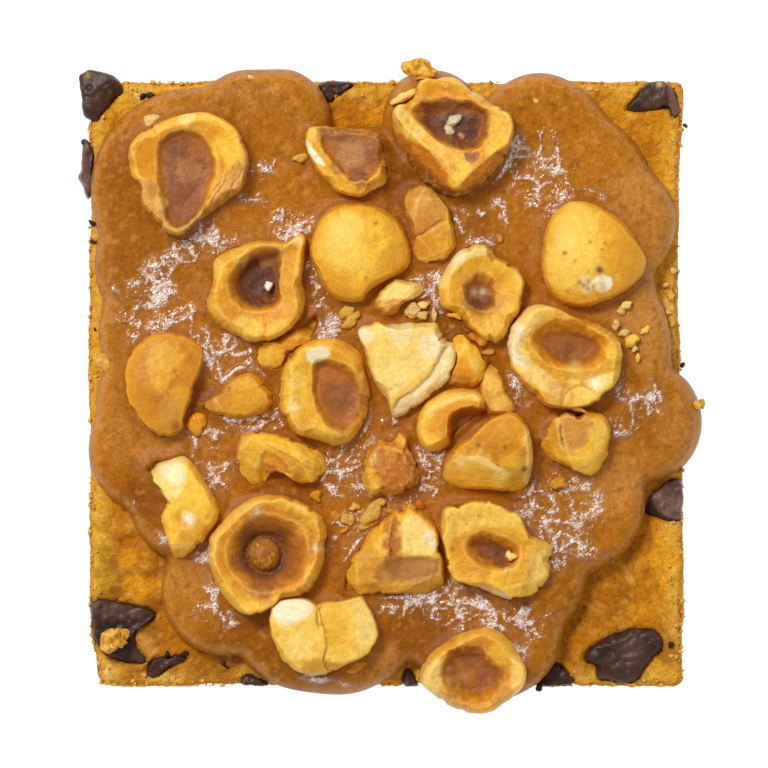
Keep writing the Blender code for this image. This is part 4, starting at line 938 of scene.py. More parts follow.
         (237, 610), (225, 598), (215, 584), (209, 570), (207, 560), (210, 550), (208, 540), (215, 527),
         (228, 515), (242, 503)), 33.8, ease=2, edge=0.4, dish=(0.4, 1.2), tone=GOLD, inner=ORANGE_GOLD,
        rough=0.35, skin=0.35, ledges=((oval_outline((269, 553), (50, 46), 10), -0.3, 0.9),),
        hollow=hollow(oval_outline((268, 553), (42, 38), 10), 3.6, wall=3.6, soft=2.6, halo=0.8,
            ball=(264, 554, 17, 2.6), tone=CAVITY_BROWN, deep=CAVITY_DARK),
        areas=(
            (((205, 545), (212, 526), (228, 512), (262, 496), (264, 503), (238, 516), (224, 530),
              (218, 545), (216, 572), (211, 570)), RIM_TAN, 0.9, 0.25),
            (((222, 590), (228, 570), (238, 590), (262, 600), (262, 610), (240, 612)), GOLD_BRIGHT, 0.8,
             0.4)),
        spots=((258, 513, 4, SCAR, 0.9), (300, 507, 6, GOLD_PALE, 0.6), (228, 552, 5, GOLD_BRIGHT, 0.4),
            (262, 530, 16, CAVITY_BROWN, 0.8), (284, 540, 13, CAVITY_DARK, 0.6),
            (248, 538, 11, CAVITY_DARK, 0.6), (244, 562, 11, CAVITY_WINE, 0.8),
            (262, 582, 14, CAVITY_WINE, 0.8), (288, 566, 13, CAVITY_WINE, 0.6),
            (300, 548, 14, CAVITY_BROWN, 0.6), (264, 554, 15, SKIN, 0.7), (240, 588, 12, TAN, 0.5),
            (319, 548, 4, SCAR, 0.7), (296, 538, 5, TAN_DULL, 0.6), (312, 575, 8, GOLD_PALE, 0.4))),
    piece("hazelnut_25", "chunk", (396, 557),
        ((380, 519), (392, 511), (405, 510), (409, 506), (414, 507), (422, 513), (431, 520), (437, 528),
         (440, 538), (442, 550), (445, 561), (444, 575), (446, 587), (438, 592), (430, 594), (415, 594),
         (400, 593), (380, 594), (360, 595), (350, 596), (340, 592), (341, 580), (346, 568), (352, 556),
         (360, 544), (369, 530)), 33.7, edge=0.5, slope=(0.008, 0),
        facets=((150, 10, 0.045), (-90, -1, 0.06)), grooves=((394, 516, 392, 558, 0.5, 2.6),),
        ledges=((((376, 568), (390, 560), (440, 556), (440, 578), (400, 582), (374, 580)), -0.45, 0.5),),
        tone=GOLD, rough=0.5, skin=0.35,
        areas=((((402, 516), (420, 514), (436, 528), (440, 554), (404, 556), (402, 534)), CREAM, 0.95, 0.2),
            # The tan area over the lowered bottom ledge is painted shade in that recess
            (((374, 572), (384, 562), (404, 557), (436, 556), (440, 568), (436, 581), (400, 582),
              (372, 582)), CAVITY_TAN, 0.75, 0.6),
            (((386, 520), (398, 516), (400, 548), (396, 560), (386, 556)), CAVITY_TAN, 0.6, 0.5),
            (((350, 582), (446, 581), (446, 596), (340, 596)), TAN_WARM, 0.6, 0.25),
            (((414, 508), (426, 514), (438, 528), (436, 534), (424, 524)), ORANGE_GOLD, 0.8, 0.2)),
        spots=((428, 536, 4, WHITE_BIT, 0.9), (432, 543, 3, WHITE_BIT, 0.8), (368, 560, 12, TAN_DULL, 0.6),
            (380, 540, 8, GOLD_PALE, 0.3), (390, 526, 8, CAVITY_BROWN, 0.8),
            (392, 544, 9, CAVITY_BROWN, 0.9), (394, 562, 10, CAVITY, 0.8), (416, 567, 14, CAVITY_ROSE, 0.6),
            (372, 578, 14, TAN, 0.6))),
    piece("hazelnut_26", "cup", (494, 552),
        ((440, 511), (448, 504), (458, 503), (470, 501), (482, 501), (495, 504), (508, 509), (519, 512),
         (523, 521), (527, 530), (531, 536), (541, 538), (547, 541), (553, 548), (552, 560), (550, 572),
         (546, 582), (540, 590), (530, 597), (516, 599), (508, 602), (499, 598), (488, 594), (475, 588),
         (460, 581), (451, 573), (446, 562), (443, 550), (440, 535), (439, 522)), 33.5, edge=0.35,
        dish=(0.3, 1.5), tone=GOLD_BRIGHT, inner=GOLD, rough=0.7, skin=0.1, ragged=0.26,
        hollow=hollow(
            ((461, 545), (468, 535), (482, 530), (500, 535), (515, 545), (519, 557), (510, 570), (490, 571),
             (472, 562)), 2.1, wall=1.9, soft=1.6, halo=1.6, tone=CAVITY_BROWN, deep=CAVITY_PURPLE),
        areas=(
            (((441, 508), (462, 501), (500, 505), (520, 513), (524, 524), (500, 528), (478, 526),
              (460, 534), (446, 540), (440, 528)), GOLD_PALE, 0.8, 0.3),
            (((474, 584), (490, 588), (504, 592), (512, 602), (492, 598)), SCAR, 0.8, 0.2),
            (((530, 552), (546, 545), (552, 556), (544, 580), (528, 594), (530, 574)), CREAM, 0.6, 0.3)),
        facets=((-20, 36, 0.08), (-75, 38, 0.08)),
        spots=((452, 548, 2.6, SKIN, 0.9), (505, 571, 3, CREAM, 0.8), (470, 572, 10, DEEP_GOLD, 0.4),
            (490, 549, 9, CAVITY_DARK, 0.7), (502, 558, 9, CAVITY_PURPLE, 0.7),
            (478, 545, 9, CAVITY_WINE, 0.6), (462, 548, 10, ORANGE_GOLD, 0.5),
            (500, 582, 10, GOLD_BRIGHT, 0.6))),
    piece("hazelnut_27", "chunk", (323, 634),
        ((272, 606), (280, 599), (295, 596), (308, 598), (317, 603), (327, 600), (345, 600), (356, 598),
         (362, 596), (367, 601), (373, 611), (377, 622), (379, 635), (376, 644), (370, 653), (360, 659),
         (349, 664), (338, 671), (326, 676), (312, 677), (300, 674), (292, 670), (283, 661), (277, 648),
         (272, 635), (270, 620)), 33.8, facets=((10, 30, 0.02), (-90, 26, 0.05)),
        grooves=((316, 598, 320, 626, 0.5, 1.2),),
        ledges=(
            (((318, 596), (340, 594), (384, 596), (384, 660), (340, 680), (322, 664), (326, 640)), -0.6,
             0.14),), tone=GOLD_PALE, rough=0.4, skin=0.05, chips=0.1, ragged=0.08,
        areas=(
            (((270, 606), (282, 598), (310, 597), (314, 610), (302, 620), (284, 626), (272, 618)), SCAR,
             0.85, 0.4), (((270, 618), (280, 624), (280, 644), (274, 640)), GOLD, 0.8, 0.3),
            (((322, 612), (345, 606), (352, 620), (350, 645), (334, 656), (324, 640)), GOLD, 0.75, 0.5),
            (((354, 600), (368, 602), (378, 624), (376, 642), (358, 652), (356, 620)), CREAM, 0.8, 0.3),
            (((300, 664), (316, 656), (330, 660), (346, 664), (330, 678), (304, 678)), OLIVE_GOLD, 0.9,
             0.3)), spots=((300, 645, 12, CREAM, 0.6), (322, 640, 3, GOLD, 0.6))),
    piece("hazelnut_28", "cup", (473, 671),
        ((450, 640), (462, 632), (474, 628), (486, 626), (496, 629), (506, 635), (515, 646), (523, 657),
         (527, 668), (526, 680), (521, 690), (513, 698), (501, 705), (491, 712), (477, 714), (459, 709),
         (445, 703), (433, 693), (421, 684), (421, 673), (425, 662), (432, 652), (441, 645)), 33.2, ease=2,
        edge=0.5, slope=(0, 0.006), dish=(0.6, 1.8), tone=GOLD, inner=ORANGE_GOLD, rough=0.5, skin=0.2,
        hollow=hollow(
            ((444, 654), (456, 646), (472, 643), (488, 648), (500, 660), (504, 676), (498, 692), (482, 702),
             (460, 702), (446, 690), (440, 672)), 1.6, wall=2.2, soft=1.6, halo=0.9, uneven=0.35,
            streaks=0.6, tone=CAVITY_BROWN, deep=CAVITY_TAN),
        areas=(
            (((420, 674), (428, 660), (440, 656), (444, 668), (440, 686), (434, 698), (424, 690)), CREAM,
             0.8, 0.3),
            (((508, 652), (522, 654), (528, 672), (520, 692), (510, 688), (512, 668)), CREAM, 0.6, 0.3)),
        grooves=((456, 684, 470, 690, 0.15, 1.0), (470, 690, 484, 682, 0.15, 1.0)),
        spots=((472, 668, 18, CAVITY_BROWN, 0.8), (458, 684, 12, CAVITY_TAN, 0.7),
            (488, 676, 12, CAVITY_WINE, 0.7), (470, 658, 9, CAVITY_WINE, 0.7), (458, 682, 5, SKIN, 0.6),
            (467, 687, 5, SKIN, 0.6), (477, 687, 5, SKIN, 0.6), (487, 682, 5, SKIN, 0.5),
            (450, 668, 8, CAVITY_WINE, 0.6), (500, 652, 10, GOLD_BRIGHT, 0.5),
            (462, 700, 14, SKIN_GOLD, 0.6), (500, 694, 12, SKIN_GOLD, 0.6))),
)

# Chocolate chunks in the cookie layer
CHOCOLATE = (
    piece("chocolate_01", "chip", (100, 92),
        ((78, 76), (86, 71), (94, 69), (110, 72), (117, 77), (122, 84), (123, 91), (115, 97), (110, 105),
         (103, 110), (99, 117), (95, 121), (86, 118), (81, 112), (80, 100), (80, 86)), COOKIE_TOP + 1.1,
        tone=COCOA, depth=6.5, facets=((-40, 2, 0.05), (130, 6, 0.03)),
        spots=((88, 76, 2.4, CRUMB_PALE, 1.0), (95, 100, 10, COCOA_PALE, 0.4))),
    piece("chocolate_02", "chip", (86, 170),
        ((82, 138), (86, 137), (90, 146), (92, 156), (91, 172), (90, 188), (88, 201), (84, 196), (81, 186),
         (77, 177), (80, 169), (80, 158), (82, 149)), COOKIE_TOP + 0.3, depth=7.0, tone=COCOA_MILKY),
    piece("chocolate_03", "chip", (334, 89),
        ((316, 80), (356, 80), (352, 84), (344, 92), (336, 95), (332, 100), (328, 104), (323, 95)),
        COOKIE_TOP + 0.4, tone=COCOA, depth=4.5),
    piece("chocolate_04", "chip", (672, 98),
        ((625, 108), (634, 99), (640, 90), (646, 82), (656, 80), (666, 80), (673, 84), (677, 93),
         (680, 105), (681, 115), (675, 119), (671, 112), (669, 106), (655, 108), (640, 110), (629, 111)),
        COOKIE_TOP + 0.9, tone=COCOA, depth=5.5, facets=((-90, 2, 0.04),),
        areas=(
            (((668, 84), (675, 86), (680, 104), (682, 116), (674, 119), (670, 100)), COCOA_MILKY, 0.9,
             0.2),), spots=((660, 83, 3, CRUMB_PALE, 0.8), (656, 96, 12, COCOA_PALE, 0.4))),
    piece("chocolate_05", "chip", (667, 500),
        ((642, 515), (646, 503), (651, 495), (663, 487), (674, 478), (684, 479), (685, 500), (683, 521),
         (672, 522), (660, 520), (650, 516)), COOKIE_TOP + 0.5, depth=4.5, facets=((215, 10, 0.07),),
        # Its milky tone stands in for the pale sheen of its flat face: painted reflection
        tone=COCOA_MILKY,
        areas=(
            (((642, 516), (650, 500), (656, 512), (668, 518), (682, 520), (682, 526), (650, 522)),
             COCOA_DARK, 0.9, 0.25),)),
    piece("chocolate_06", "chip", (626, 658),
        ((583, 658), (589, 649), (600, 643), (612, 636), (625, 631), (640, 629), (655, 630), (662, 637),
         (665, 649), (656, 656), (648, 665), (643, 676), (635, 685), (622, 684), (600, 684), (597, 675),
         (596, 665), (589, 666), (585, 663)), COOKIE_TOP + 1.0, edge=1.2, tone=COCOA, depth=4.5,
        crown=(628, 656, 56, 44, 0.8), rough=0.5,
        spots=((632, 652, 14, COCOA_PALE, 0.6), (600, 655, 9, COCOA_DARK, 0.6))),
    piece("chocolate_07", "chip", (559, 677),
        ((538, 687), (547, 673), (556, 662), (566, 668), (575, 680), (574, 686), (558, 689)),
        COOKIE_TOP + 0.4, tone=COCOA, depth=5.0),
    piece("chocolate_08", "chip", (409, 681),
        ((402, 688), (401, 676), (408, 668), (415, 676), (420, 684), (418, 688)), COOKIE_TOP + 0.3,
        tone=COCOA, depth=4.0),
    piece("chocolate_09", "chip", (116, 636),
        ((90, 600), (108, 600), (122, 603), (137, 606), (150, 609), (158, 614), (154, 620), (140, 626),
         (132, 635), (133, 645), (137, 651), (146, 659), (147, 664), (140, 667), (128, 666), (115, 661),
         (101, 656), (95, 646), (91, 641), (90, 622)), COOKIE_TOP + 0.7, edge=0.5, tone=COCOA, depth=6.0,
        facets=((-95, 8, 0.03),),
        areas=(
            (((92, 602), (108, 603), (134, 608), (146, 612), (140, 620), (116, 618), (94, 616)), COCOA_PALE,
             0.7, 0.3),
            (((100, 622), (130, 624), (128, 640), (134, 652), (120, 656), (98, 650)), COCOA_DARK, 0.8,
             0.3)), spots=((138, 659, 6, COCOA_PALE, 0.6),)),
    piece("chocolate_10", "chip", (163, 667),
        ((146, 661), (158, 658), (172, 657), (184, 656), (186, 662), (173, 665), (164, 673), (152, 680),
         (145, 677)), COOKIE_TOP + 0.4, tone=COCOA, depth=3.0),
    piece("chocolate_11", "chip", (251, 683),
        ((238, 687), (241, 677), (249, 674), (258, 679), (269, 686), (266, 688)), COOKIE_TOP + 0.3,
        tone=COCOA, depth=3.5),
)

# Loose bits of cookie
CRUMBS = (
    piece("cookie_crumb_01", "crumb", (421, 69),
        ((403, 68), (407, 62), (415, 60), (424, 61), (432, 65), (440, 69), (438, 75), (428, 79), (412, 79)),
        SAUCE_TOP + 0.9, floor=SAUCE_TOP - 1.3),
    piece("cookie_crumb_02", "crumb", (115, 641),
        ((101, 636), (108, 630), (120, 628), (128, 631), (130, 640), (124, 650), (110, 655), (100, 650)),
        COOKIE_TOP + 3.2, floor=COOKIE_TOP + 1.0),
    piece("cookie_crumb_03", "crumb", (702, 404), oval_outline((702, 404), (7, 6)), SAUCE_TOP - 1.2,
        floor=SAUCE_TOP - 2.8),
)

# Flakes of nut on the sauce: column, row, half length, half width, turn, lift above the sauce, colour
NUT_FLAKES = (
    (347, 311, 9, 6, 20, 0.7, FLAKE),
    (351, 321, 12, 6, 35, 0.8, FLAKE),
    (413, 311, 8, 7, 60, 1.3, FLAKE_PALE),
    (424, 305, 6, 5, 20, 1.1, CREAM),
    (435, 315, 3.4, 9, 0, 1.1, FLAKE_PALE),
    (456, 316, 8, 3, -15, 0.8, GOLD),
    (422, 316, 7, 5, 0, 1.1, FLAKE_PALE),
    (412, 314, 5, 5, 0, 0.9, GOLD_PALE),
    (477, 340, 10, 4, -35, 1.0, SKIN_GOLD),
    (465, 328, 11, 2.4, -42, 0.7, SKIN),
    (451, 328, 7, 5, 30, 0.4, SAUCE_DARK),
    (488, 352, 6, 3, 0, 0.5, TAN_DULL),
    (372, 513, 8, 13, -35, 1.0, FLAKE),
    (379, 503, 9, 4, 30, 0.8, FLAKE),
    (366, 524, 9, 4, 20, 0.7, FLAKE),
    (348, 519, 7, 6, 30, 0.8, FLAKE),
    (336, 516, 6, 5, 0, 0.6, TAN),
    (355, 507, 5, 4, 10, 0.6, FLAKE),
    (391, 511, 6, 4, -20, 0.7, TAN),
    (344, 530, 5, 3, 40, 0.5, TAN),
    (316, 496, 5, 6, 0, 0.8, TAN),
    (409, 508, 6, 4, 0, 0.9, DEEP_GOLD),
    (420, 505, 5, 5, 0, 0.7, TOASTED),
    (154, 119, 9, 6, 15, 0.35, FLAKE_PALE),
    (108, 362, 10, 11, 60, 0.35, FLAKE),
    (301, 158, 8, 4, 10, 0.6, FLAKE),
    (626, 305, 6, 4, 30, 1.0, CREAM),
    (620, 311, 4.5, 4.5, 0, 0.9, FLAKE_PALE),
    (616, 326, 4, 5, 0, 0.8, FLAKE_PALE),
    (623, 333, 6, 5, 20, 1.1, FLAKE_PALE),
    (631, 340, 7, 6, 50, 1.2, GOLD_PALE),
    (634, 349, 4, 5, 0, 0.9, FLAKE_PALE),
    (637, 358, 3, 5, 0, 0.7, GOLD_PALE),
    (645, 330, 6, 3, 40, 0.7, GOLD_PALE),
    (198, 423, 9, 10, 0, 0.9, DEEP_GOLD),
    (322, 671, 15, 6, 18, 0.5, FLAKE),
    (356, 667, 9, 5, 30, 0.3, TAN),
    (558, 483, 10, 7, 10, 1.1, TAN),
    (404, 97, 16, 4, 22, 1.6, CREAM),
    (452, 398, 4, 4, 0, 0.6, FLAKE),
    (576, 409, 10, 3, -20, 2.2, GOLD_PALE),
    (500, 240, 3, 4, 0, 0.5, TAN),
    (590, 88, 3, 2.5, 0, 0.3, FLAKE_PALE),
    (613, 560, 1.8, 5, 0, 0.25, SKIN),
    (586, 609, 2, 2, 0, 0.25, SKIN),
    (667, 284, 4, 3, 20, 0.8, CRUMB_PALE),
    (672, 296, 4.5, 3.5, 60, 0.9, CRUMB),
    (669, 311, 3.5, 3, 0, 0.7, CRUMB_PALE),
    (674, 270, 3, 3, 0, 0.7, CRUMB_PALE),
    (673, 324, 3.5, 2.5, 40, 0.6, CRUMB),
    (536, 100, 2.5, 3, 0, 0.2, FLAKE_PALE),
    (251, 78, 3, 2.5, 0, 0.2, FLAKE_PALE),
)
# Crumbs that lie in the cavities: column, row, half length, half width, turn, height, colour
SKIN_CRUMBS = (
    (269, 286, 4.0, 4.6, 20, 31.7, WHITE_BIT),
    (511, 555, 4.6, 4.6, 30, 33.3, CREAM),
    (505, 571, 2.6, 2.6, 0, 33.8, CREAM),
    (453, 122, 8, 5, 35, 33.6, SCAR_GREY),
    (449, 131, 7, 5, -20, 33.4, SCAR_GREY),
    (461, 137, 5, 3, -50, 33.2, CAVITY_ROSE),
)
# Dark specks of chocolate on the sauce and the crust: column, row, half size
DARK_SPECKS = (
    (149, 94, 4.0), (141, 97, 3.0), (82, 141, 2.2), (91, 222, 3.0), (92, 241, 3.0), (684, 365, 3.0),
    (672, 645, 3.5), (686, 125, 2.4), (184, 654, 3.2), (175, 659, 3.4), (167, 655, 2.6), (226, 668, 2.4),
    (222, 665, 2.0), (540, 688, 4.0), (95, 329, 1.8),
)

# How finely the pieces are made: points round each one, and steps in millimetres
NUT_SIDES = 200
NUT_STEP = 0.24
CHOCOLATE_SIDES = 110
CHOCOLATE_STEP = 0.24
CRUMB_SIDES = 96
CRUMB_STEP = 0.2
FLAKE_SIDES = 26
SPECK_SIDES = 12
EDGE_BIT_SIDES = 8
EDGE_BITS = 900
BAR_STEP = 0.4
# Rounding of the upper edges of the layers, and how far in their tops are made
COOKIE_EDGE = 1.1
BROWNIE_EDGE = 0.5
CRUST_REACH = 15.0
BROWNIE_REACH = 1.5
# Loops of a small flake from its foot to its middle: share of its size and of its lift
FLAKE_LOOPS = ((1.0, -0.6), (1.03, 0.0), (0.97, 0.55), (0.82, 0.9), (0.55, 1.0), (0.28, 1.03))


# Meshes


def make_object(name, points, faces, colours, material):
    """A mesh object from points in millimetres, groups of faces, and a colour for each point."""
    mesh = bpy.data.meshes.new(name)
    mesh.vertices.add(len(points))
    mesh.vertices.foreach_set("co", (np.asarray(points, dtype=float) * MM).ravel())
    corners = np.concatenate([group.ravel() for group in faces])
    sizes = np.concatenate([np.full(len(group), group.shape[1]) for group in faces])
    mesh.loops.add(len(corners))
    mesh.loops.foreach_set("vertex_index", corners)
    mesh.polygons.add(len(sizes))
    mesh.polygons.foreach_set("loop_start", np.concatenate([[0], np.cumsum(sizes)[:-1]]))
    mesh.polygons.foreach_set("use_smooth", np.ones(len(sizes), dtype=bool))
    mesh.update(calc_edges=True)
    mesh.validate()
    tint = mesh.color_attributes.new("tint", "FLOAT_COLOR", "POINT")
    opaque = np.ones((len(points), 1))
    tint.data.foreach_set("color", np.concatenate([colours, opaque], axis=1).ravel())
    mesh.materials.append(material)
    made = bpy.data.objects.new(name, mesh)
    bpy.context.scene.collection.objects.link(made)
    return made


def make_look(node, points, faces, colours, material):
    """A detailed piece that rides on the bar in the place of its node."""
    made = make_object(node + "_look", points, faces, colours, material)
    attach(made, "root")
    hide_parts(node)
    return made


def stack_faces(rows, sides):
    """Faces between closed loops that lie one after another, counter-clockwise seen from outside."""
    row, side = np.meshgrid(np.arange(rows - 1), np.arange(sides), indexing="ij")
    following = (side + 1) % sides
    low = row * sides
    quads = np.stack([low + side, low + following, low + sides + following, low + sides + side], axis=-1)
    return quads.reshape(-1, 4)


def close_ends(rows, sides):
    """Triangles from the first and last loop to the two end points that follow the loops."""
    side = np.arange(sides)
    following = (side + 1) % sides
    first = rows * sides
    last = (rows - 1) * sides
    bottom = np.stack([np.full(sides, first), following, side], axis=-1)
    top = np.stack([last + side, last + following, np.full(sides, first + 1)], axis=-1)
    return np.concatenate([bottom, top])


def grid_faces(rows, sides):
    """All faces of a closed stack of loops with its two end points."""
    return [stack_faces(rows, sides), close_ends(rows, sides)]


# Star-shaped pieces


def piece_grid(shape, sides, step):
    """Loops of a star-shaped piece from its foot to its middle: place, rise and inset of each point.

    The rise is from 0 at the waist to 1 on the level of the top, and below 0 down to the foot.
    """
    edge = shape["edge"]
    ragged = shape["ragged"]
    seed = 100 + int(shape["at"][0])
    angles = np.arange(sides) * math.tau / sides
    distance = soften(reach(shape, angles), 1)
    around = wrapped(angles, distance, 0.0)
    distance = distance + ragged * (0.8 * noise(around, 2.4, seed) + 0.35 * noise(around, 0.9, seed + 1))
    distance = distance - ragged * smooth(0.45, 0.75, noise(around, 1.2, seed + 2))
    broken = smooth(-0.1, 0.4, noise(around, 6.0, seed + 4))
    jags = 0.8 * noise(around, 1.0, seed + 5) + 0.4 * noise(around, 0.45, seed + 3)
    distance = distance + ragged * broken * jags
    rounding = np.minimum(edge, distance * 0.6)
    slant = SLANTS[shape["kind"]] * 2 * smooth(-0.35, 0.45, noise(around, 4.5, seed + 6))
    loops = [(0.5, -1.0), (0.85, -1.0)]
    for turn in (50, 25):
        angle = math.radians(turn)
        loops.append((0.85 + 0.15 * math.cos(angle), -math.sin(angle)))
    steps = int((edge + 3.2) / (step * 1.3))
    for number in range(steps + 1):
        turn = math.pi / 2 * number / steps
        inward = rounding * (1 - math.cos(turn)) + slant * math.sin(turn) ** 2
        loops.append((1 - inward / distance, math.sin(turn)))
    inner = 1 - (rounding + slant) / distance
    count = max(4, int((distance - rounding).max() / step))
    for number in range(1, count):
        loops.append((inner * (1 - number / count), 1.0))
    shares = np.array([np.broadcast_to(share, sides) for share, _ in loops])
    rises = np.repeat([rise for _, rise in loops], sides)
    middle_x, middle_y = to_plan(*shape["at"])
    x = np.append(middle_x + shares * distance * np.cos(angles), [middle_x, middle_x])
    y = np.append(middle_y + shares * distance * np.sin(angles), [middle_y, middle_y])
    return x, y, np.append(rises, [-1, 1]), np.append((1 - shares) * distance, [9, 9]), len(loops)


def raised(x, y, rise, floor, waist, top):
    """Points of a piece's loops, which rise from its floor over its waist to its top."""
    return np.stack([x, y, waist + np.where(rise > 0, top - waist, waist - floor) * rise], axis=-1)


def relief(points, rows, sides, reach_steps, size):
    """How far each point of a stack of loops stands out from its neighbours, from -1 to 1."""
    grid = points[: rows * sides].reshape(rows, sides, 3)
    total = np.zeros_like(grid)
    for step in (-reach_steps, reach_steps):
        total += np.roll(grid, step, axis=1)
        total += grid[np.clip(np.arange(rows) + step, 0, rows - 1)]
    gap = grid - total / 4
    along = np.roll(grid, -1, axis=1) - np.roll(grid, 1, axis=1)
    across = grid[np.clip(np.arange(rows) + 1, 0, rows - 1)] - grid[np.clip(np.arange(rows) - 1, 0, rows - 1)]
    normal = np.cross(along, across)
    normal = normal / np.maximum(np.linalg.norm(normal, axis=-1, keepdims=True), 1e-9)
    out = (gap * normal).sum(axis=-1)
    out[:2] = 0
    out[-2:] = 0
    return np.clip(np.concatenate([out.ravel(), [0, 0]]) / size, -1, 1)


# Hazelnuts


def cavity_depth(cavity, x, y):
    """How far a cavity is below its rim at each plan point, and the distance inside its outline."""
    points = rounded(cavity["outline"], 2)
    flat = on_plan(x, y)
    within = inside(points, x, y) + cavity["uneven"] * (noise(flat, 2.0, 65) + 0.5 * noise(flat, 0.7, 67))
    middle_x, middle_y = points.mean(axis=0)
    around = np.arctan2(y - middle_y, x - middle_x)
    wall = np.full(np.shape(x), cavity["wall"])
    if cavity["steep"]:
        angle, share = cavity["steep"]
        wall = wall * (1 - share * np.maximum(np.cos(around - math.radians(angle)), 0))
    inward = np.clip((within + 0.15) / (wall + 0.15), 0, 1)
    depth = cavity["depth"] * np.sin(inward * math.pi / 2) ** 1.3
    if cavity["ball"]:
        column, row, radius, rise = cavity["ball"]
        away = grid_distance(x, y, column, row) / radius
        depth = np.where(away < 1, cavity["depth"] - rise * np.sqrt(np.maximum(1 - away**2, 0)), depth)
    return depth, within, around


def cavity_colours(colour, cavity, within, around, broad, small, fine, seed):
    """Tint the inside of a cavity, with streaks down its wall and a golden edge round it."""
    soft = cavity["soft"]
    streak = noise(wrapped(around, 6, within * 0.3), 1.0, seed + 54)
    uneven = within + 0.14 * small + 0.08 * fine + cavity["streaks"] * soft * streak
    colour = mix(colour, CAVITY_EDGE, 0.8 * np.exp(np.minimum(uneven, 0) / cavity["halo"]))
    # The deep tone towards the middle is partly the cavity's own colour, partly painted shade in the hollow
    hue = over(
        cavity["tone"],
        (cavity["deep"], 1.0, soft, soft * 2.2 + 0.8, within + 0.35 * broad + 0.25 * streak),
        (CAVITY_ROSE, 0.30, 0.1, 0.7, small + 0.3 * streak),
        (CAVITY_DARK, 0.35, 0.2, 0.8, -small + 0.5 * streak),
    )
    return mix(colour, hue, smooth(-0.05, soft, uneven))


def ball_colours(colour, ball, points, seed):
    """Tint a seed that shows in a cavity, with painted shade in a ring round it and golden cracks."""
    column, row, radius, _ = ball
    away = grid_distance(points[:, 0], points[:, 1], column, row) / radius
    colour = mix(colour, CAVITY_DARK, np.exp(-(((away - 1.15) / 0.28) ** 2)))
    cracks = noise(points, 0.5, seed + 60) + 0.4 * noise(points, 0.25, seed + 61)
    cracked = over(BALL, (GOLD, 0.7, 0.3, 0.75, cracks))
    return mix(colour, cracked, 1 - smooth(0.86, 1.0, away))


def nut_colours(nut, points, rise, inset, within, around, stand, seed):
    """The colour of each point of a nut, from its tone, its rim, its cavity, its faces and its spots, with
    painted shade at its edges and foot and painted light and shade from its relief.
    """
    x, y = points[:, 0], points[:, 1]
    skin = nut["skin"]
    cavity = nut["hollow"]
    broad = layered(points, 3.4, seed + 40)
    small = layered(points, 0.9, seed + 44)
    fine = noise(points, 0.35, seed + 48)
    colour = nut["tone"]
    if cavity:
        edge = nut["edge"]
        colour = over(colour, (nut["inner"], 0.8, edge, edge + 1.2, inset + 0.3 * small))
    blotch = min(1.0, 0.35 + 2.0 * skin)
    colour = over(
        colour,
        (GOLD_PALE, 0.45 * blotch, 0.10, 0.6, broad + 0.5 * small),
        (DEEP_GOLD, 0.60 * blotch, 0.05, 0.55, -broad + 0.5 * small),
        (TAN, skin * 0.7, 0.15, 0.6, noise(points, 1.6, seed + 50) + fine * 0.5),
        (TAN, 0.02 + 0.6 * skin, 0.45, 0.85, layered(points, 0.6, seed + 52)),
    )
    # Deeper gold towards the outline: partly the roasted outer skin, partly painted shade on the edges that
    # turn away
    colour = mix(colour, DEEP_GOLD, (0.15 + 0.8 * skin) * (1 - smooth(0.1, 0.9, inset + 0.25 * small)))
    # On a dome, painted shade deepens the gold over its falling sides
    if nut["kind"] == "dome":
        colour = mix(colour, DEEP_GOLD, 0.75 * (1 - smooth(0.2, 3.4, inset + 0.6 * small)))
    if skin > VEINED_SKIN:
        middle_x, middle_y = to_plan(*nut["at"])
        turned = np.arctan2(y - middle_y, x - middle_x)
        apart = np.hypot(x - middle_x, y - middle_y)
        vein = noise(wrapped(turned, 7, apart * 0.25), 1.0, seed + 70)
        colour = mix(colour, DEEP_GOLD, 0.35 * (1 - smooth(0.02, 0.14, np.abs(vein + 0.1 * fine))))
    if cavity:
        colour = cavity_colours(colour, cavity, within, around, broad, small, fine, seed)
    for outline, tint, strength, soft in nut["areas"]:
        uneven = (0.10 + 0.4 * soft) * small + 0.10 * fine
        share = smooth(-soft, soft, inside(rounded(outline, 1), x, y) + uneven)
        tint = over(tint, (DEEP_GOLD, 0.30, 0.2, 0.8, small))
        colour = mix(colour, tint, share * strength * (rise > 0))
    for column, row, radius, spot, strength in nut["spots"]:
        shaped = patch(x, y, column, row, radius * 1.15)
        if radius > LARGE_SPOT:
            shaped = smooth(0.22, 0.62, shaped + 0.20 * small + 0.10 * fine)
        colour = mix(colour, spot, shaped * strength)
    if cavity and cavity["ball"]:
        colour = ball_colours(colour, cavity["ball"], points, seed)
    # Painted shade low on the sides, where the nut meets the sauce
    low = 1 - smooth(0.0, 0.85, rise + 0.2 * small)
    colour = mix(colour, DARK_TAN, (0.15 + 0.35 * skin) * low)
    # Painted highlight where the relief stands out and painted shade where it lies back
    return painted_relief_light(colour, stand, GOLD_PALE, 0.22, DARK_TAN, 0.40)


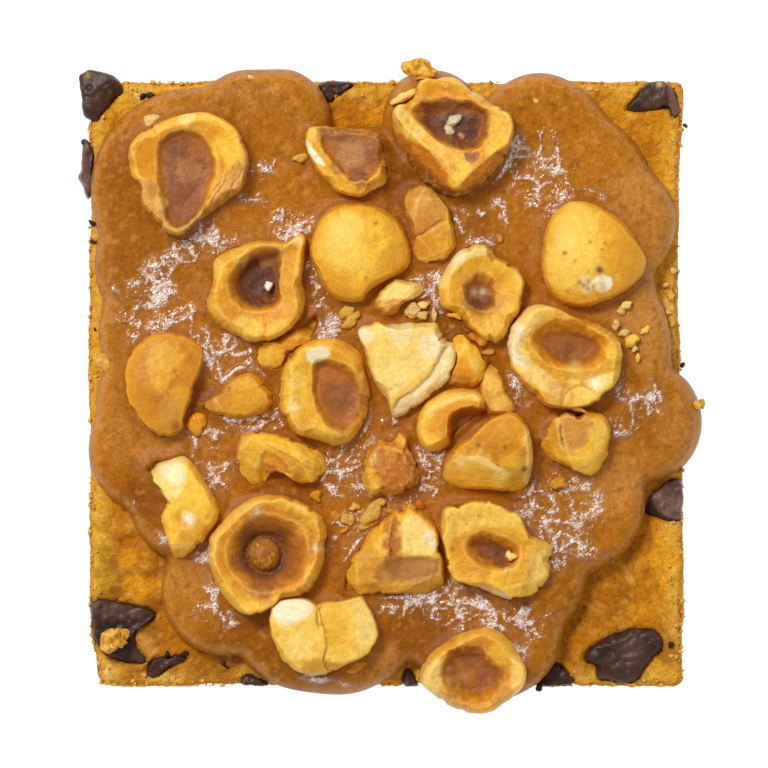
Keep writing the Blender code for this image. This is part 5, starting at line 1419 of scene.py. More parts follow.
def make_nut(nut, material):
    """One detailed hazelnut piece in the place of its solid."""
    seed = 200 + int(nut["at"][0] * 3 + nut["at"][1])
    dome = nut["kind"] == "dome"
    x, y, rise, inset, rows = piece_grid(nut, NUT_SIDES, NUT_STEP)
    lean = smooth(0, 0.6, rise)
    x = x + nut["lean"][0] / GRID_PER_MM * lean
    y = y + nut["lean"][1] / GRID_PER_MM * lean
    drop, width = nut["dish"]
    top = level(nut, x, y) - drop * np.clip((inset - nut["edge"] - SLANTS[nut["kind"]]) / width, 0, 1)
    within = np.full(len(x), FAR_OUTSIDE)
    around = np.zeros(len(x))
    if nut["hollow"]:
        depth, within, around = cavity_depth(nut["hollow"], x, y)
        top = top - depth
        within = np.where(rise > 0.5, within, FAR_OUTSIDE)
    points = raised(x, y, rise, NUT_FLOOR, NUT_WAIST, np.maximum(top, NUT_WAIST + 0.3))
    rough = nut["rough"]
    moved = shake(points, 4.0, 0.20, seed)
    moved = moved + drift(points, 1.3, 0.08 * rough, seed + 20) + drift(points, 0.6, 0.03 * rough, seed + 30)
    ridges = 0.16 * (0.4 - np.abs(noise(points, 2.8, seed + 36)))
    ridges = ridges + 0.06 * (0.4 - np.abs(noise(points, 1.1, seed + 38)))
    if not dome:
        plate = cells(shake(points * [1, 1, 0.3], 1.0, 0.35, seed + 80), 1.7, seed + 84)[1]
        ridges = ridges + 0.12 / max(rough, 1.0) * (plate - 0.5)
    flat = smooth(0.5, 0.95, rise) * (0.4 + 0.6 * (1 - smooth(-0.2, 0.3, within)))
    rim = np.exp(-((inset - 0.4) ** 2)) * smooth(0.3, 0.9, rise)
    notches = 0.35 * nut["ragged"] * (noise(points, 2.4, seed + 41) + 0.5 * noise(points, 0.8, seed + 42))
    moved[:, 2] = moved[:, 2] + rough * ridges * flat + notches * rim
    stand = relief(moved, rows, NUT_SIDES, 2, 0.08)
    sharp = relief(moved, rows, NUT_SIDES, 1, 0.035)
    colours = nut_colours(nut, points, rise, inset, within, around, stand, seed)
    # Painted highlight on sharp ridges and painted shade in small creases
    lit = np.maximum(sharp - 0.1, 0) * smooth(-0.3, 0.4, rise) * (1 - 0.8 * smooth(-0.6, 0.4, within))
    colours = mix(colours, CREAM, 0.40 * (lit * (0.3 if dome else 1.0)))
    colours = mix(colours, DARK_TAN, 0.30 * np.maximum(-sharp - 0.1, 0))
    make_look(nut["name"], moved, grid_faces(rows, NUT_SIDES), colours, material)


def make_chocolate(chunk, material):
    """One chocolate chunk with flat broken faces in the place of its solid."""
    seed = 500 + int(chunk["at"][0] * 3 + chunk["at"][1])
    x, y, rise, _, rows = piece_grid(chunk, CHOCOLATE_SIDES, CHOCOLATE_STEP)
    waist = chunk["top"] - CHOCOLATE_EDGE
    points = raised(x, y, rise, COOKIE_TOP - chunk["depth"], waist, level(chunk, x, y))
    top = smooth(0.4, 1.0, rise)
    moved = shake(points, 2.6, 0.12, seed) + drift(points, 0.7, 0.10, seed + 20)
    lift = 0.30 * (0.4 - np.abs(noise(points, 3.6, seed + 30))) + 0.10 * noise(points, 0.6, seed + 31)
    moved[:, 2] = moved[:, 2] + chunk["rough"] * lift * top
    stand = relief(moved, rows, CHOCOLATE_SIDES, 2, 0.09)
    shade = layered(points, 2.2, seed + 40)
    bloom = noise(points, 0.5, seed + 44) + 0.4 * shade
    colours = over(chunk["tone"], (COCOA_DARK, 0.6, -0.2, 0.7, -shade), (COCOA_PALE, 0.4, 0.35, 0.8, bloom))
    for outline, tint, strength, soft in chunk["areas"]:
        covered = inside(rounded(outline, 1), x, y) + 0.1 * shade
        colours = over(colours, (tint, strength, -soft, soft, covered))
    for column, row, radius, spot, strength in chunk["spots"]:
        colours = mix(colours, spot, patch(x, y, column, row, radius) * strength * top)
    # Painted highlight where the relief stands out and painted shade where it lies back
    colours = painted_relief_light(colours, stand, COCOA_PALE, 0.3, COCOA_DARK, 0.7)
    make_look(chunk["name"], moved, grid_faces(rows, CHOCOLATE_SIDES), colours, material)


def make_crumb(crumb, material):
    """One loose crumb of cookie in the place of its solid."""
    seed = 700 + int(crumb["at"][0])
    x, y, rise, _, rows = piece_grid(crumb, CRUMB_SIDES, CRUMB_STEP)
    floor = crumb["floor"]
    top = crumb["top"]
    points = raised(x, y, rise, floor, floor + (top - floor) * 0.4, top)
    near, value = cells(points, 0.75, seed)
    moved = shake(points, 1.6, 0.25, seed + 3) + drift(points, 0.5, 0.14, seed + 9)
    moved[:, 2] = moved[:, 2] + (0.3 - near * 0.6) * smooth(0.1, 0.8, rise)
    stand = relief(moved, rows, CRUMB_SIDES, 2, 0.10)
    colours = over(
        CRUMB,
        (CRUMB_PALE, 1.0, 0.3, 0.9, value),
        (CRUST, 0.8, 0.45, 0.9, near),
        (CRUMB_OLIVE, 0.4, 0.1, 0.7, noise(points, 1.1, seed + 15)),
    )
    # Painted highlight where the relief stands out and painted shade where it lies back
    colours = painted_relief_light(colours, stand, CRUMB_PALE, 0.6, CRUST_DARK, 0.7)
    make_look(crumb["name"], moved, grid_faces(rows, CRUMB_SIDES), colours, material)


# Sauce


def sauce_depth(x, y):
    """How far a plan point lies inside the sauce's outline, in millimetres, below 0 outside."""
    total = 0.0
    for column, row, radius in SAUCE_LOBES:
        lobe_x, lobe_y = to_plan(column, row)
        within = radius / GRID_PER_MM - np.hypot(x - lobe_x, y - lobe_y)
        total = total + np.exp(np.clip(within, -12, 12) / SAUCE_BLEND)
    return SAUCE_BLEND * np.log(total + 1e-12)


def oval(x, y, column, row, half_long, half_wide, turn):
    """A soft oval spot on the plan, 1 in its middle."""
    spot_x, spot_y = to_plan(column, row)
    angle = math.radians(turn)
    along = (x - spot_x) * math.cos(angle) + (y - spot_y) * math.sin(angle)
    across = (y - spot_y) * math.cos(angle) - (x - spot_x) * math.sin(angle)
    away = (along * GRID_PER_MM / half_long) ** 2 + (across * GRID_PER_MM / half_wide) ** 2
    return np.exp(-away * 0.9)


def ripple_share(x, y):
    """How crinkled the sauce is at each plan point, from 0 to 1."""
    flat = on_plan(x, y)
    share = np.zeros(np.shape(x))
    for column, row, half_long, half_wide, turn, strength in SAUCE_RIPPLES:
        share = np.maximum(share, strength * oval(x, y, column, row, half_long, half_wide, turn))
    broken = layered(shake(flat, 3.0, 0.8, 69), 2.6, 71)
    long_lines = np.abs(noise(shake(flat, 2.0, 0.8, 73), 2.4, 75))
    short_lines = np.abs(noise(shake(flat, 1.6, 0.6, 79), 1.5, 81)) + 0.06
    line = 1 - smooth(0.02, 0.26, np.minimum(long_lines, short_lines))
    beside = np.exp(-(((nut_distance(x, y) - 0.5) / 0.35) ** 2)) * smooth(0.0, 0.4, noise(flat, 4.2, 77))
    beside = beside * smooth(0.02, 0.3, share)
    share = 1.6 * share * (0.38 + 0.90 * line) + 0.6 * broken * smooth(0.01, 0.25, share)
    return np.clip(np.maximum(share, 1.1 * beside) - 0.12, 0, 1)


def nut_distance(x, y):
    """Distance to the nearest nut's outline in millimetres at each plan point, below 0 inside it."""
    nearest = np.full(np.shape(x), 9.0)
    for nut in HAZELNUTS:
        middle_x, middle_y = to_plan(*nut["at"])
        close = np.hypot(x - middle_x, y - middle_y) < 12
        distance = -inside(rounded(nut["outline"], 1), x[close], y[close])
        nearest[close] = np.minimum(nearest[close], distance)
    return nearest


def sauce_height(x, y):
    """Height of the sauce's surface above the table at each plan point."""
    covered = sauce_depth(x, y)
    edge = np.clip(covered / SAUCE_EDGE, 0, 1)
    height = SAUCE_LIP + (SAUCE_TOP - SAUCE_LIP) * np.sqrt(1 - (1 - edge) ** 2)
    flat = on_plan(x, y)
    free = smooth(0.4, 3.5, covered)
    height = height + free * (0.26 * noise(flat, 13.0, 31) + 0.16 * noise(flat, 5.0, 33) - 0.1)
    distance = nut_distance(x, y)
    height = height + 0.55 * np.exp(-np.maximum(distance, 0) / 0.75) * smooth(0.0, 1.0, covered)
    height = height - 2.6 * smooth(0.35, 1.2, -distance)
    crinkle = np.abs(noise(shake(flat, 1.2, 0.35, 37), 1.0, 41)) + 0.5 * np.abs(noise(flat, 0.55, 43))
    height = height + free * ripple_share(x, y) * (0.18 * crinkle - 0.06)
    right = (BAR_RIGHT - MIDDLE_COLUMN) / GRID_PER_MM
    over_side = np.maximum(x - right + 1.0, 0)
    return height - 0.10 * over_side**2


def sauce_slope(x, y):
    """How far points lie inside the sauce's outline, and how that grows along both directions."""
    here = sauce_depth(x, y)
    return here, (sauce_depth(x + PROBE, y) - here) / PROBE, (sauce_depth(x, y + PROBE) - here) / PROBE


def sauce_sheet():
    """The plan points of the sauce's top, which of them are on its rim, and its faces."""
    columns = np.arange(SHEET_LEFT, SHEET_RIGHT, SAUCE_STEP)
    rows = np.arange(SHEET_FRONT, SHEET_BACK, SAUCE_STEP)
    x, y = np.meshgrid(columns, rows, indexing="ij")
    within = sauce_depth(x, y) > 0.03
    cell = within[:-1, :-1] & within[1:, :-1] & within[1:, 1:] & within[:-1, 1:]
    number = np.arange(x.size).reshape(x.shape)
    quads = np.stack([number[:-1, :-1], number[1:, :-1], number[1:, 1:], number[:-1, 1:]], axis=-1)[cell]
    counts = np.bincount(quads.ravel(), minlength=x.size)
    used = counts > 0
    rim = used & (counts < 4)
    x = x.ravel()
    y = y.ravel()
    for _ in range(5):
        here, slope_x, slope_y = sauce_slope(x[rim], y[rim])
        size = np.maximum(slope_x**2 + slope_y**2, 0.2)
        x[rim] -= here * slope_x / size
        y[rim] -= here * slope_y / size
    renumber = np.cumsum(used) - 1
    return x[used], y[used], rim[used], renumber[quads]


def drip_drop(x, y):
    """How far the sauce hangs down at points of its rim."""
    drop = np.zeros(len(x))
    for column, row, width, depth in SAUCE_DRIPS:
        drop = np.maximum(drop, depth * patch(x, y, column, row, width))
    return drop


def make_sauce(material):
    """The praline sauce: a lobed sheet with a fat rounded edge, risen round the nuts, with drips."""
    x, y, rim, quads = sauce_sheet()
    total = len(x)
    z = np.where(rim, SAUCE_LIP, sauce_height(x, y))
    edges = np.concatenate([quads[:, [0, 1]], quads[:, [1, 2]], quads[:, [2, 3]], quads[:, [3, 0]]])
    pairs = np.sort(edges, axis=1)
    _, first, tally = np.unique(pairs[:, 0] * total + pairs[:, 1], return_index=True, return_counts=True)
    border = edges[first[tally == 1]]
    columns, place = np.unique(border, return_inverse=True)
    place = place.reshape(border.shape)
    edge_x = x[columns]
    edge_y = y[columns]
    _, slope_x, slope_y = sauce_slope(edge_x, edge_y)
    length = np.maximum(np.hypot(slope_x, slope_y), 0.3)
    drop = drip_drop(edge_x, edge_y)
    bottom = COOKIE_TOP - 0.35 - drop
    bulge = smooth(0.5, 3.0, drop)
    layers = [np.stack([x, y, z], axis=-1)]
    faces = [quads]
    upper = border
    for step, (share, inset) in enumerate(SIDE_LOOPS):
        swell = 0.35 * bulge * math.sin(math.pi * share)
        shift = swell - inset - 0.5 * (1 - bulge) * share**2
        down = SAUCE_LIP + (bottom - SAUCE_LIP) * share
        out_x = edge_x - slope_x / length * shift
        out_y = edge_y - slope_y / length * shift
        layers.append(np.stack([out_x, out_y, down], axis=-1))
        lower = total + step * len(columns) + place
        faces.append(np.stack([upper[:, 1], upper[:, 0], lower[:, 0], lower[:, 1]], axis=-1))
        upper = lower
    points = np.concatenate(layers + [[[0.0, 0.0, COOKIE_TOP - 0.8]]])
    centre = np.full(len(border), len(points) - 1)
    faces.append(np.stack([upper[:, 1], upper[:, 0], centre], axis=-1))
    made = make_look("praline_sauce", points, faces, sauce_colours(points), material)
    mask = made.data.attributes.new("ripple", "FLOAT", "POINT")
    mask.data.foreach_set("value", ripple_share(points[:, 0], points[:, 1]))


def sauce_colours(points):
    """The colour of each point of the sauce."""
    x, y = points[:, 0], points[:, 1]
    broad = layered(points, 9.0, 81)
    small = layered(points, 1.6, 84)
    specks = noise(points, 0.7, 88) + 0.5 * noise(points, 0.4, 89)
    colour = over(
        SAUCE,
        (SAUCE_DARK, 0.35, 0.1, 0.9, broad + 0.2 * small),
        (SAUCE_PALE, 0.3, 0.1, 0.9, -broad + 0.2 * small),
    )
    # Dark places beside and between the nuts are partly painted shade
    colour = tint_places(colour, x, y, SAUCE_TINTS_AND_SHADE, 1.1, 0.08 * small)
    # Painted highlight: a pale line just inside the sauce's rounded edge
    band = np.exp(-(((sauce_depth(x, y) - 0.75) / 0.5) ** 2))
    colour = mix(colour, SAUCE_PALE, 0.5 * band)
    colour = over(colour, (SAUCE_PALE, 0.55, 0.30, 0.85, specks), (SAUCE_DARK, 0.50, 0.30, 0.85, -specks))
    # Painted shadow round the nuts, reaching further to the lower right
    shaded = nut_distance(x - 0.35, y + 0.45)
    apart = np.maximum(np.minimum(nut_distance(x, y), shaded), 0)
    colour = mix(colour, SAUCE_DARK, 0.34 * np.exp(-apart / 0.8) + 0.16 * np.exp(-apart / 2.6))
    sheen = ripple_share(x, y) * smooth(-0.1, 0.6, layered(points, 1.8, 92))
    return mix(colour, SAUCE_SHEEN, 0.35 * sheen)


# Baked layers


def layer_outline(corner_cut, dent):
    """Dense points of a layer's outline, with how far round the bar each one is."""
    left, back = to_plan(BAR_LEFT, BAR_BACK)
    right, front = to_plan(BAR_RIGHT, BAR_FRONT)
    corners = ((right, back, 0), (left, back, 90), (left, front, 180), (right, front, 270))
    points = []
    for number, (x, y, start) in enumerate(corners):
        inner_x = x - math.copysign(BAR_CORNER, x)
        inner_y = y - math.copysign(BAR_CORNER, y)
        for step in range(7):
            angle = math.radians(start + 15 * step)
            points.append((inner_x + BAR_CORNER * math.cos(angle), inner_y + BAR_CORNER * math.sin(angle)))
        following = corners[(number + 1) % 4]
        end_x = following[0] - math.copysign(BAR_CORNER, following[0])
        end_y = following[1] - math.copysign(BAR_CORNER, following[1])
        outward = math.radians(start + 90)
        steps = int(math.hypot(end_x - inner_x, end_y - inner_y) / BAR_STEP)
        for step in range(1, steps):
            share = step / steps
            points.append((inner_x + (end_x - inner_x) * share + BAR_CORNER * math.cos(outward),
                           inner_y + (end_y - inner_y) * share + BAR_CORNER * math.sin(outward)))
    points = np.array(points)
    x, y = points[:, 0], points[:, 1]
    corner = np.exp(-np.maximum(np.hypot(x - left, y - front) - 1.5, 0) ** 2 / 14)
    x = x + corner_cut * corner
    dented = np.exp(-(((y - 17.0) / 15.0) ** 4)) * smooth(right - 4, right - 1, x)
    x = x - dent / GRID_PER_MM * dented
    return x, y


def layer_loops(x, y, low, high, edge, top_reach):
    """Loops up the side of a layer, over its rounded edge and in over its top, with the inset of each.

    The two points that close the layer come last.
    """
    half_x = np.abs(x).max()
    half_y = np.abs(y).max()
    side = int((high - edge - low) / BAR_STEP)
    loops = [(0.0, low + (high - edge - low) * step / side) for step in range(side + 1)]
    for turn in (18, 36, 54, 72, 90):
        angle = math.radians(turn)
        loops.append((edge * (1 - math.cos(angle)), high - edge + edge * math.sin(angle)))
    inset = edge
    while inset < top_reach:
        inset += BAR_STEP if inset < top_reach - 3 else BAR_STEP * 2
        loops.append((inset, high))
    points = [
        np.stack([x * (1 - inset / half_x), y * (1 - inset / half_y), np.full(len(x), z)], axis=-1)
        for inset, z in loops
    ]
    insets = np.repeat([inset for inset, _ in loops], len(x))
    closed = np.concatenate(points + [[[0, 0, low], [0, 0, high]]])
    return closed, np.append(insets, [CRUST_REACH, CRUST_REACH]), len(loops)


def outward(points):
    """The direction along each axis out of the nearer pair of the bar's sides."""
    x, y = points[:, 0], points[:, 1]
    beside = np.abs(x) / BAR_HALF_X > np.abs(y) / BAR_HALF_Y
    return np.where(beside, np.sign(x), 0), np.where(beside, 0, np.sign(y))


def chunk_share(points):
    """How far each point of the cookie gives way to a chocolate chunk, from 0 to 1."""
    x, y, z = points[:, 0], points[:, 1], points[:, 2]
    share = np.zeros(len(x))
    for chunk in CHOCOLATE:
        middle_x, middle_y = to_plan(*chunk["at"])
        close = np.hypot(x - middle_x, y - middle_y) < 9
        within = smooth(-0.15, 0.35, inside(rounded(chunk["outline"], 1), x[close], y[close]))
        above = smooth(COOKIE_TOP - chunk["depth"], COOKIE_TOP - chunk["depth"] + 0.8, z[close])
        share[close] = np.maximum(share[close], within * above)
    return share


def make_cookie(material):
    """The cookie layer: a granular golden crust above and an open crumb on its cut sides."""
    x, y = layer_outline(*COOKIE_SHAPE)
    sides = len(x)
    points, inset, rows = layer_loops(x, y, COOKIE_FOOT, COOKIE_TOP, COOKIE_EDGE, CRUST_REACH)
    x, y, z = points[:, 0], points[:, 1], points[:, 2]
    top = smooth(0.1, 1.0, inset) * smooth(COOKIE_TOP - 1.0, COOKIE_TOP - 0.2, z)
    side = 1 - top
    near, value = cells(points, 1.5, 301)
    fine_near, _ = cells(points, 0.7, 305)
    lumps = layered(points, 3.2, 311)
    lengths = np.maximum(np.maximum(np.abs(x) / BAR_HALF_X, np.abs(y) / BAR_HALF_Y), 0.1)
    out_x, out_y = outward(points)
    edge_noise = 0.10 * lumps + 0.34 * (0.45 - near) * smooth(0.3, 0.8, value) + 0.22 * (0.4 - fine_near)
    edge_noise = edge_noise + 0.12 * noise(points, 1.1, 325)
    pits = smooth(0.62, 0.8, layered(points, 1.9, 317))
    out = (edge_noise - 0.55 * pits - 0.05) * side * np.clip(lengths, 0, 1)
    crust = 0.18 * lumps + 0.22 * (0.4 - fine_near) + 0.16 * noise(points, 0.6, 321)
    crust = crust - 0.35 * smooth(0.62, 0.8, layered(points, 2.6, 323))
    given = chunk_share(points)
    out = out + 0.30 * noise(points, 5.5, 341) * side - 1.0 * given * side
    points[:, 0] += out * out_x
    points[:, 1] += out * out_y
    points[:, 2] += crust * top - 1.0 * given * top
    colours = cookie_colours(points, inset, top, near, value, fine_near, pits)
    colours = mix(colours, CRUST_DARK, 0.6 * given)
    make_look("cookie_layer", points, grid_faces(rows, sides), colours, material)


# Parts of the crust with a colour of their own: column, row, radius, colour, strength
CRUST_TINTS = (
    (600, 600, 40, CRUST_DARK, 0.45),
    (640, 590, 26, CRUST_DARK, 0.25),
    (668, 570, 22, CRUST_PALE, 0.9),
    (672, 540, 16, CRUST_PALE, 0.9),
    (668, 660, 20, CRUMB_OLIVE, 0.7),
    (660, 680, 18, CRUMB, 0.8),
    (580, 664, 18, CRUST_DARK, 0.7),
    (588, 676, 10, CRUMB_OLIVE, 0.6),
    (640, 110, 30, CRUST_PALE, 0.3),
    (620, 95, 30, CRUST_PALE, 0.4),
    (668, 150, 14, CRUST_PALE, 0.8),
    (677, 315, 12, CRUMB_PALE, 0.8),
    (678, 345, 12, CRUMB_PALE, 0.8),
    (676, 285, 10, CRUMB, 0.8),
    (655, 148, 9, CRUST_DARK, 0.6),
    (670, 190, 14, CRUST_PALE, 0.9),
    (670, 300, 34, CRUST_PALE, 1.0),
    (676, 262, 12, CRUST_PALE, 0.8),
    (664, 280, 7, CRUST_DARK, 0.3),
    (370, 95, 26, CRUST_PALE, 0.2),
    (355, 110, 14, CRUST_DARK, 0.4),
    (380, 92, 10, CRUST_DARK, 0.4),
    (140, 94, 30, CRUMB, 0.6),
    (165, 88, 20, CRUST, 0.4),
    (98, 130, 10, CRUMB_OLIVE, 0.7),
    (92, 260, 14, CRUMB, 0.8),
    (96, 500, 18, CRUMB, 0.5),
    (98, 545, 18, CRUMB, 0.5),
    (106, 574, 20, CRUMB_OLIVE, 1.0),
    (98, 596, 14, CRUMB_OLIVE, 0.8),
    (106, 530, 8, CRUMB_OLIVE, 0.7),
    (128, 545, 16, CRUST_DARK, 0.45),
    (130, 520, 10, CRUST_PALE, 0.5),
    (140, 590, 18, CRUST_PALE, 0.3),
    (160, 565, 14, CRUST_DARK, 0.9),
    (158, 600, 12, CRUST_DARK, 0.9),
    (152, 640, 14, CRUST_DARK, 0.5),
    (142, 646, 9, CRUMB_PALE, 0.5),
    (120, 682, 26, CRUMB, 0.6),
    (128, 672, 14, CRUST_DARK, 0.4),
    (140, 668, 9, CRUST_DARK, 0.6),
    (185, 684, 9, CRUMB, 0.5),
    (200, 674, 16, CRUST_DARK, 0.5),
    (225, 674, 20, CRUST_DARK, 0.9),
    (205, 680, 16, CRUMB_OLIVE, 0.5),
)


# Baked and pale places over the rim: column, row, radius, tint, strength
RIM_TINTS = (
    (196, 676, 14, CRUST_DARK, 0.6),
    (222, 676, 14, CRUST_DARK, 0.7),
    (103, 580, 16, CRUMB_OLIVE, 0.8),
    (90, 512, 8, CRUMB_YELLOW, 0.8),
    (89, 536, 9, CRUMB_YELLOW, 0.8),
    (90, 562, 8, CRUMB_YELLOW, 0.8),
    (91, 586, 8, CRUMB_YELLOW, 0.8),
    (102, 555, 7, CRUMB_OLIVE, 0.7),
    (101, 526, 6, CRUMB_OLIVE, 0.6),
    (113, 566, 6, CRUST_DARK, 0.7),
    (116, 592, 7, CRUST_DARK, 0.8),
    (128, 560, 9, CRUST_PALE, 0.6),
    (134, 584, 9, CRUST_PALE, 0.5),
    (148, 576, 6, CRUST_DARK, 0.7),
    (144, 646, 10, TAN_DULL, 0.7),
    (132, 676, 9, CRUST_DARK, 0.7),
    (104, 674, 9, CRUMB_PALE, 0.8),
    (113, 690, 8, CRUMB_PALE, 0.8),
    (146, 688, 8, CRUMB_PALE, 0.7),
    (164, 680, 8, CRUMB_PALE, 0.6),
    (178, 688, 6, CRUMB_PALE, 0.6),
    (120, 684, 6, CRUST_DARK, 0.6),
    (172, 667, 8, CRUST_DARK, 0.6),
    (612, 640, 9, TAN_DULL, 0.6),
    (640, 612, 11, CRUST_PALE, 0.5),
    (622, 590, 9, CRUST_DARK, 0.6),
    (650, 574, 7, CRUST_DARK, 0.5),
    (689, 600, 7, CRUMB_PALE, 0.8),
    (689, 575, 7, CRUMB_PALE, 0.8),
    (687, 690, 9, CRUMB_PALE, 0.7),
    (600, 690, 9, CRUMB_OLIVE, 0.7),
    (576, 676, 8, TAN_DULL, 0.6),
    (676, 300, 12, CRUMB_PALE, 0.7),
    (677, 335, 12, CRUMB_PALE, 0.7),
    (670, 655, 12, CRUST_DARK, 0.6),
    (680, 560, 10, CRUST_PALE, 0.8),
    (664, 556, 12, CRUST_PALE, 0.6),
    (640, 686, 10, CRUST_DARK, 0.5),
    (140, 90, 12, CRUMB_PALE, 0.5),
    (600, 92, 12, CRUST, 0.6),
    (650, 120, 12, CRUST, 0.5),
)


def cookie_colours(points, inset, top, near, value, fine_near, pits):
    """The colour of each point of the cookie layer."""
    x, y, z = points[:, 0], points[:, 1], points[:, 2]
    broad = layered(points, 6.0, 331)
    small = layered(points, 1.0, 335)
    grain = noise(points, 0.4, 339)
    mottled = layered(points, 2.6, 349)
    crust = over(
        CRUST,
        (CRUST_PALE, 0.6, 0.0, 0.8, broad + 0.4 * small),
        (CRUST_DARK, 0.5, 0.1, 0.8, -broad + 0.5 * small + 0.2 * grain),
    )
    crust = tint_places(crust, x, y, CRUST_TINTS, 1.15, 0.14 * small)
    crust = over(
        crust,
        (CRUST_DARK, 0.60, 0.15, 0.7, layered(points, 1.3, 343)),
        (CRUMB_PALE, 0.40, 0.2, 0.7, layered(points, 0.8, 347)),
        (CRUST_DARK, 0.55, 0.15, 0.65, mottled),
        (CRUST_PALE, 0.40, 0.15, 0.65, -mottled),
    )
    rim = 1 - smooth(0.8, 3.4, inset + 1.0 * small)
    crust = mix(crust, CRUMB, 0.75 * rim)
    crust = over(crust, (CRUMB_PALE, 0.6 * rim, 0.0, 0.6, layered(points, 0.7, 351)))
    crust = tint_places(crust, x, y, RIM_TINTS, 1.15, 0.3 * small)
    crumb = over(
        CRUMB,
        (CRUMB_PALE, 0.8, 0.3, 0.9, value),
        (CRUMB_OLIVE, 0.5, 0.0, 0.7, small),
        (CRUST, 0.5, 0.3, 0.7, near * 0.6 + fine_near * 0.6 - 0.2),
    )
    # Painted shade in the pits of the crumb
    crumb = mix(crumb, CRUST_DARK, 0.8 * pits)
    crumb = over(crumb, (CRUST, 0.55, COOKIE_TOP - 2.4, COOKIE_TOP - 0.9, z + 0.4 * small))
    return mix(crumb, crust, top)


def make_brownie(material):
    """The brownie layer: dark, moist and dense, cut square."""
    x, y = layer_outline(*BROWNIE_SHAPE)
    sides = len(x)
    points, inset, rows = layer_loops(x, y, 0.0, BROWNIE_TOP, BROWNIE_EDGE, BROWNIE_REACH)
    z = points[:, 2]
    near, value = cells(points, 1.9, 401)
    fine_near, _ = cells(points, 0.8, 405)
    lumps = layered(points, 3.6, 411)
    out_x, out_y = outward(points)
    foot = smooth(0.0, 0.6, z)
    pits = smooth(0.6, 0.8, layered(points, 1.7, 417))
    out = 0.12 * lumps + 0.24 * (0.45 - near) * smooth(0.3, 0.8, value) + 0.12 * (0.4 - fine_near)
    out = (out - 0.5 * pits - 0.1) * (1 - smooth(0.3, 1.2, inset)) - 0.35 * (1 - foot)
    points[:, 0] += out * out_x
    points[:, 1] += out * out_y
    points[:, 2] = np.where(z > 0.02, z + 0.05 * lumps * foot, z)
    colours = over(BROWNIE, (BROWNIE_DARK, 1.0, 0.0, 0.8, layered(points, 1.1, 421) + 0.3))
    colours = mix(colours, COCOA_PALE, 0.35 * smooth(0.55, 0.95, value) * smooth(0.2, 0.6, 0.7 - near))
    # Painted shade in the pits of the crumb
    colours = mix(colours, BROWNIE_DARK, 0.8 * pits)
    make_look("brownie_layer", points, grid_faces(rows, sides), colours, material)


# Small scattered pieces


def bit_shape(column, row, half_long, half_wide, turn, base, lift, seed, sides=FLAKE_SIDES, uneven=0.36):
    """Points and faces of one small flake, with an irregular outline and a broken top."""
    middle_x, middle_y = to_plan(column, row)
    angles = np.arange(sides) * math.tau / sides
    wobble = 1 + uneven * noise(wrapped(angles, 1.0, seed * 0.37) * 1.4, 1.0, seed)
    across = math.radians(turn)
    rows = []
    for share, height in FLAKE_LOOPS:
        along = np.cos(angles) * half_long / GRID_PER_MM * wobble * share
        aside = np.sin(angles) * half_wide / GRID_PER_MM * wobble * share
        x = middle_x + along * math.cos(across) - aside * math.sin(across)
        y = middle_y + along * math.sin(across) + aside * math.cos(across)
        rows.append(np.stack([x, y, np.full(sides, base + height * lift)], axis=-1))
    ends = [[middle_x, middle_y, base - 0.6 * lift], [middle_x, middle_y, base + lift]]
    points = shake(np.concatenate(rows + [ends]), 0.9, 0.14, seed + 3)
    points = shake(points, 0.4, 0.03 + 0.14 * min(half_long, half_wide) / GRID_PER_MM, seed + 5)
    points[:, 2] += 0.14 * lift * noise(points, 0.7, seed + 9)
    return points, grid_faces(len(FLAKE_LOOPS), sides)


def gather(name, parts, material):
    """Join small shapes of one kind, each its points, faces and colours, into one piece."""
    starts = np.cumsum([0] + [len(points) for points, _, _ in parts])
    faces = []
    for kind in range(2):
        faces.append(np.concatenate([groups[kind] + start for (_, groups, _), start in zip(parts, starts)]))
    points = np.concatenate([points for points, _, _ in parts])
    colours = np.concatenate([colours for _, _, colours in parts])
    made = make_object(name, points, faces, colours, material)
    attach(made, "root")


def rest_height(column, row):
    """Height of the sauce, or of the crust beside it, under a grid position."""
    x, y = to_plan(column, row)
    x = np.array([x])
    y = np.array([y])
    if sauce_depth(x, y)[0] > 0:
        return float(sauce_height(x, y)[0])
    return COOKIE_TOP


def make_flakes(material):
    """Flakes of nut that lie on the sauce, and crumbs in the cavities."""
    parts = []
    for number, (column, row, half_long, half_wide, turn, lift, tone) in enumerate(NUT_FLAKES):
        base = rest_height(column, row) - 0.15
        points, faces = bit_shape(column, row, half_long, half_wide, turn, base, lift, 900 + number * 11)
        colours = over(tone, (DEEP_GOLD, 0.5, 0.0, 0.8, layered(points, 0.8, 950 + number)))
        # Painted shade at the foot of each flake, where it sits on the sauce
        low = 1 - smooth(base - 0.1, base + lift * 0.7, points[:, 2])
        parts.append((points, faces, mix(colours, DARK_TAN, 0.7 * low)))
    gather("hazelnut_flakes", parts, material)
    parts = []
    for number, (column, row, half_long, half_wide, turn, height, tone) in enumerate(SKIN_CRUMBS):
        seed = 1300 + number * 11
        points, faces = bit_shape(column, row, half_long, half_wide, turn, height - 1.2, 0.8, seed)
        colours = over(tone, (CAVITY_ROSE, 0.6, 0.2, 0.9, layered(points, 0.5, 1350 + number)))
        parts.append((points, faces, colours))
    gather("hazelnut_skin_crumbs", parts, material)


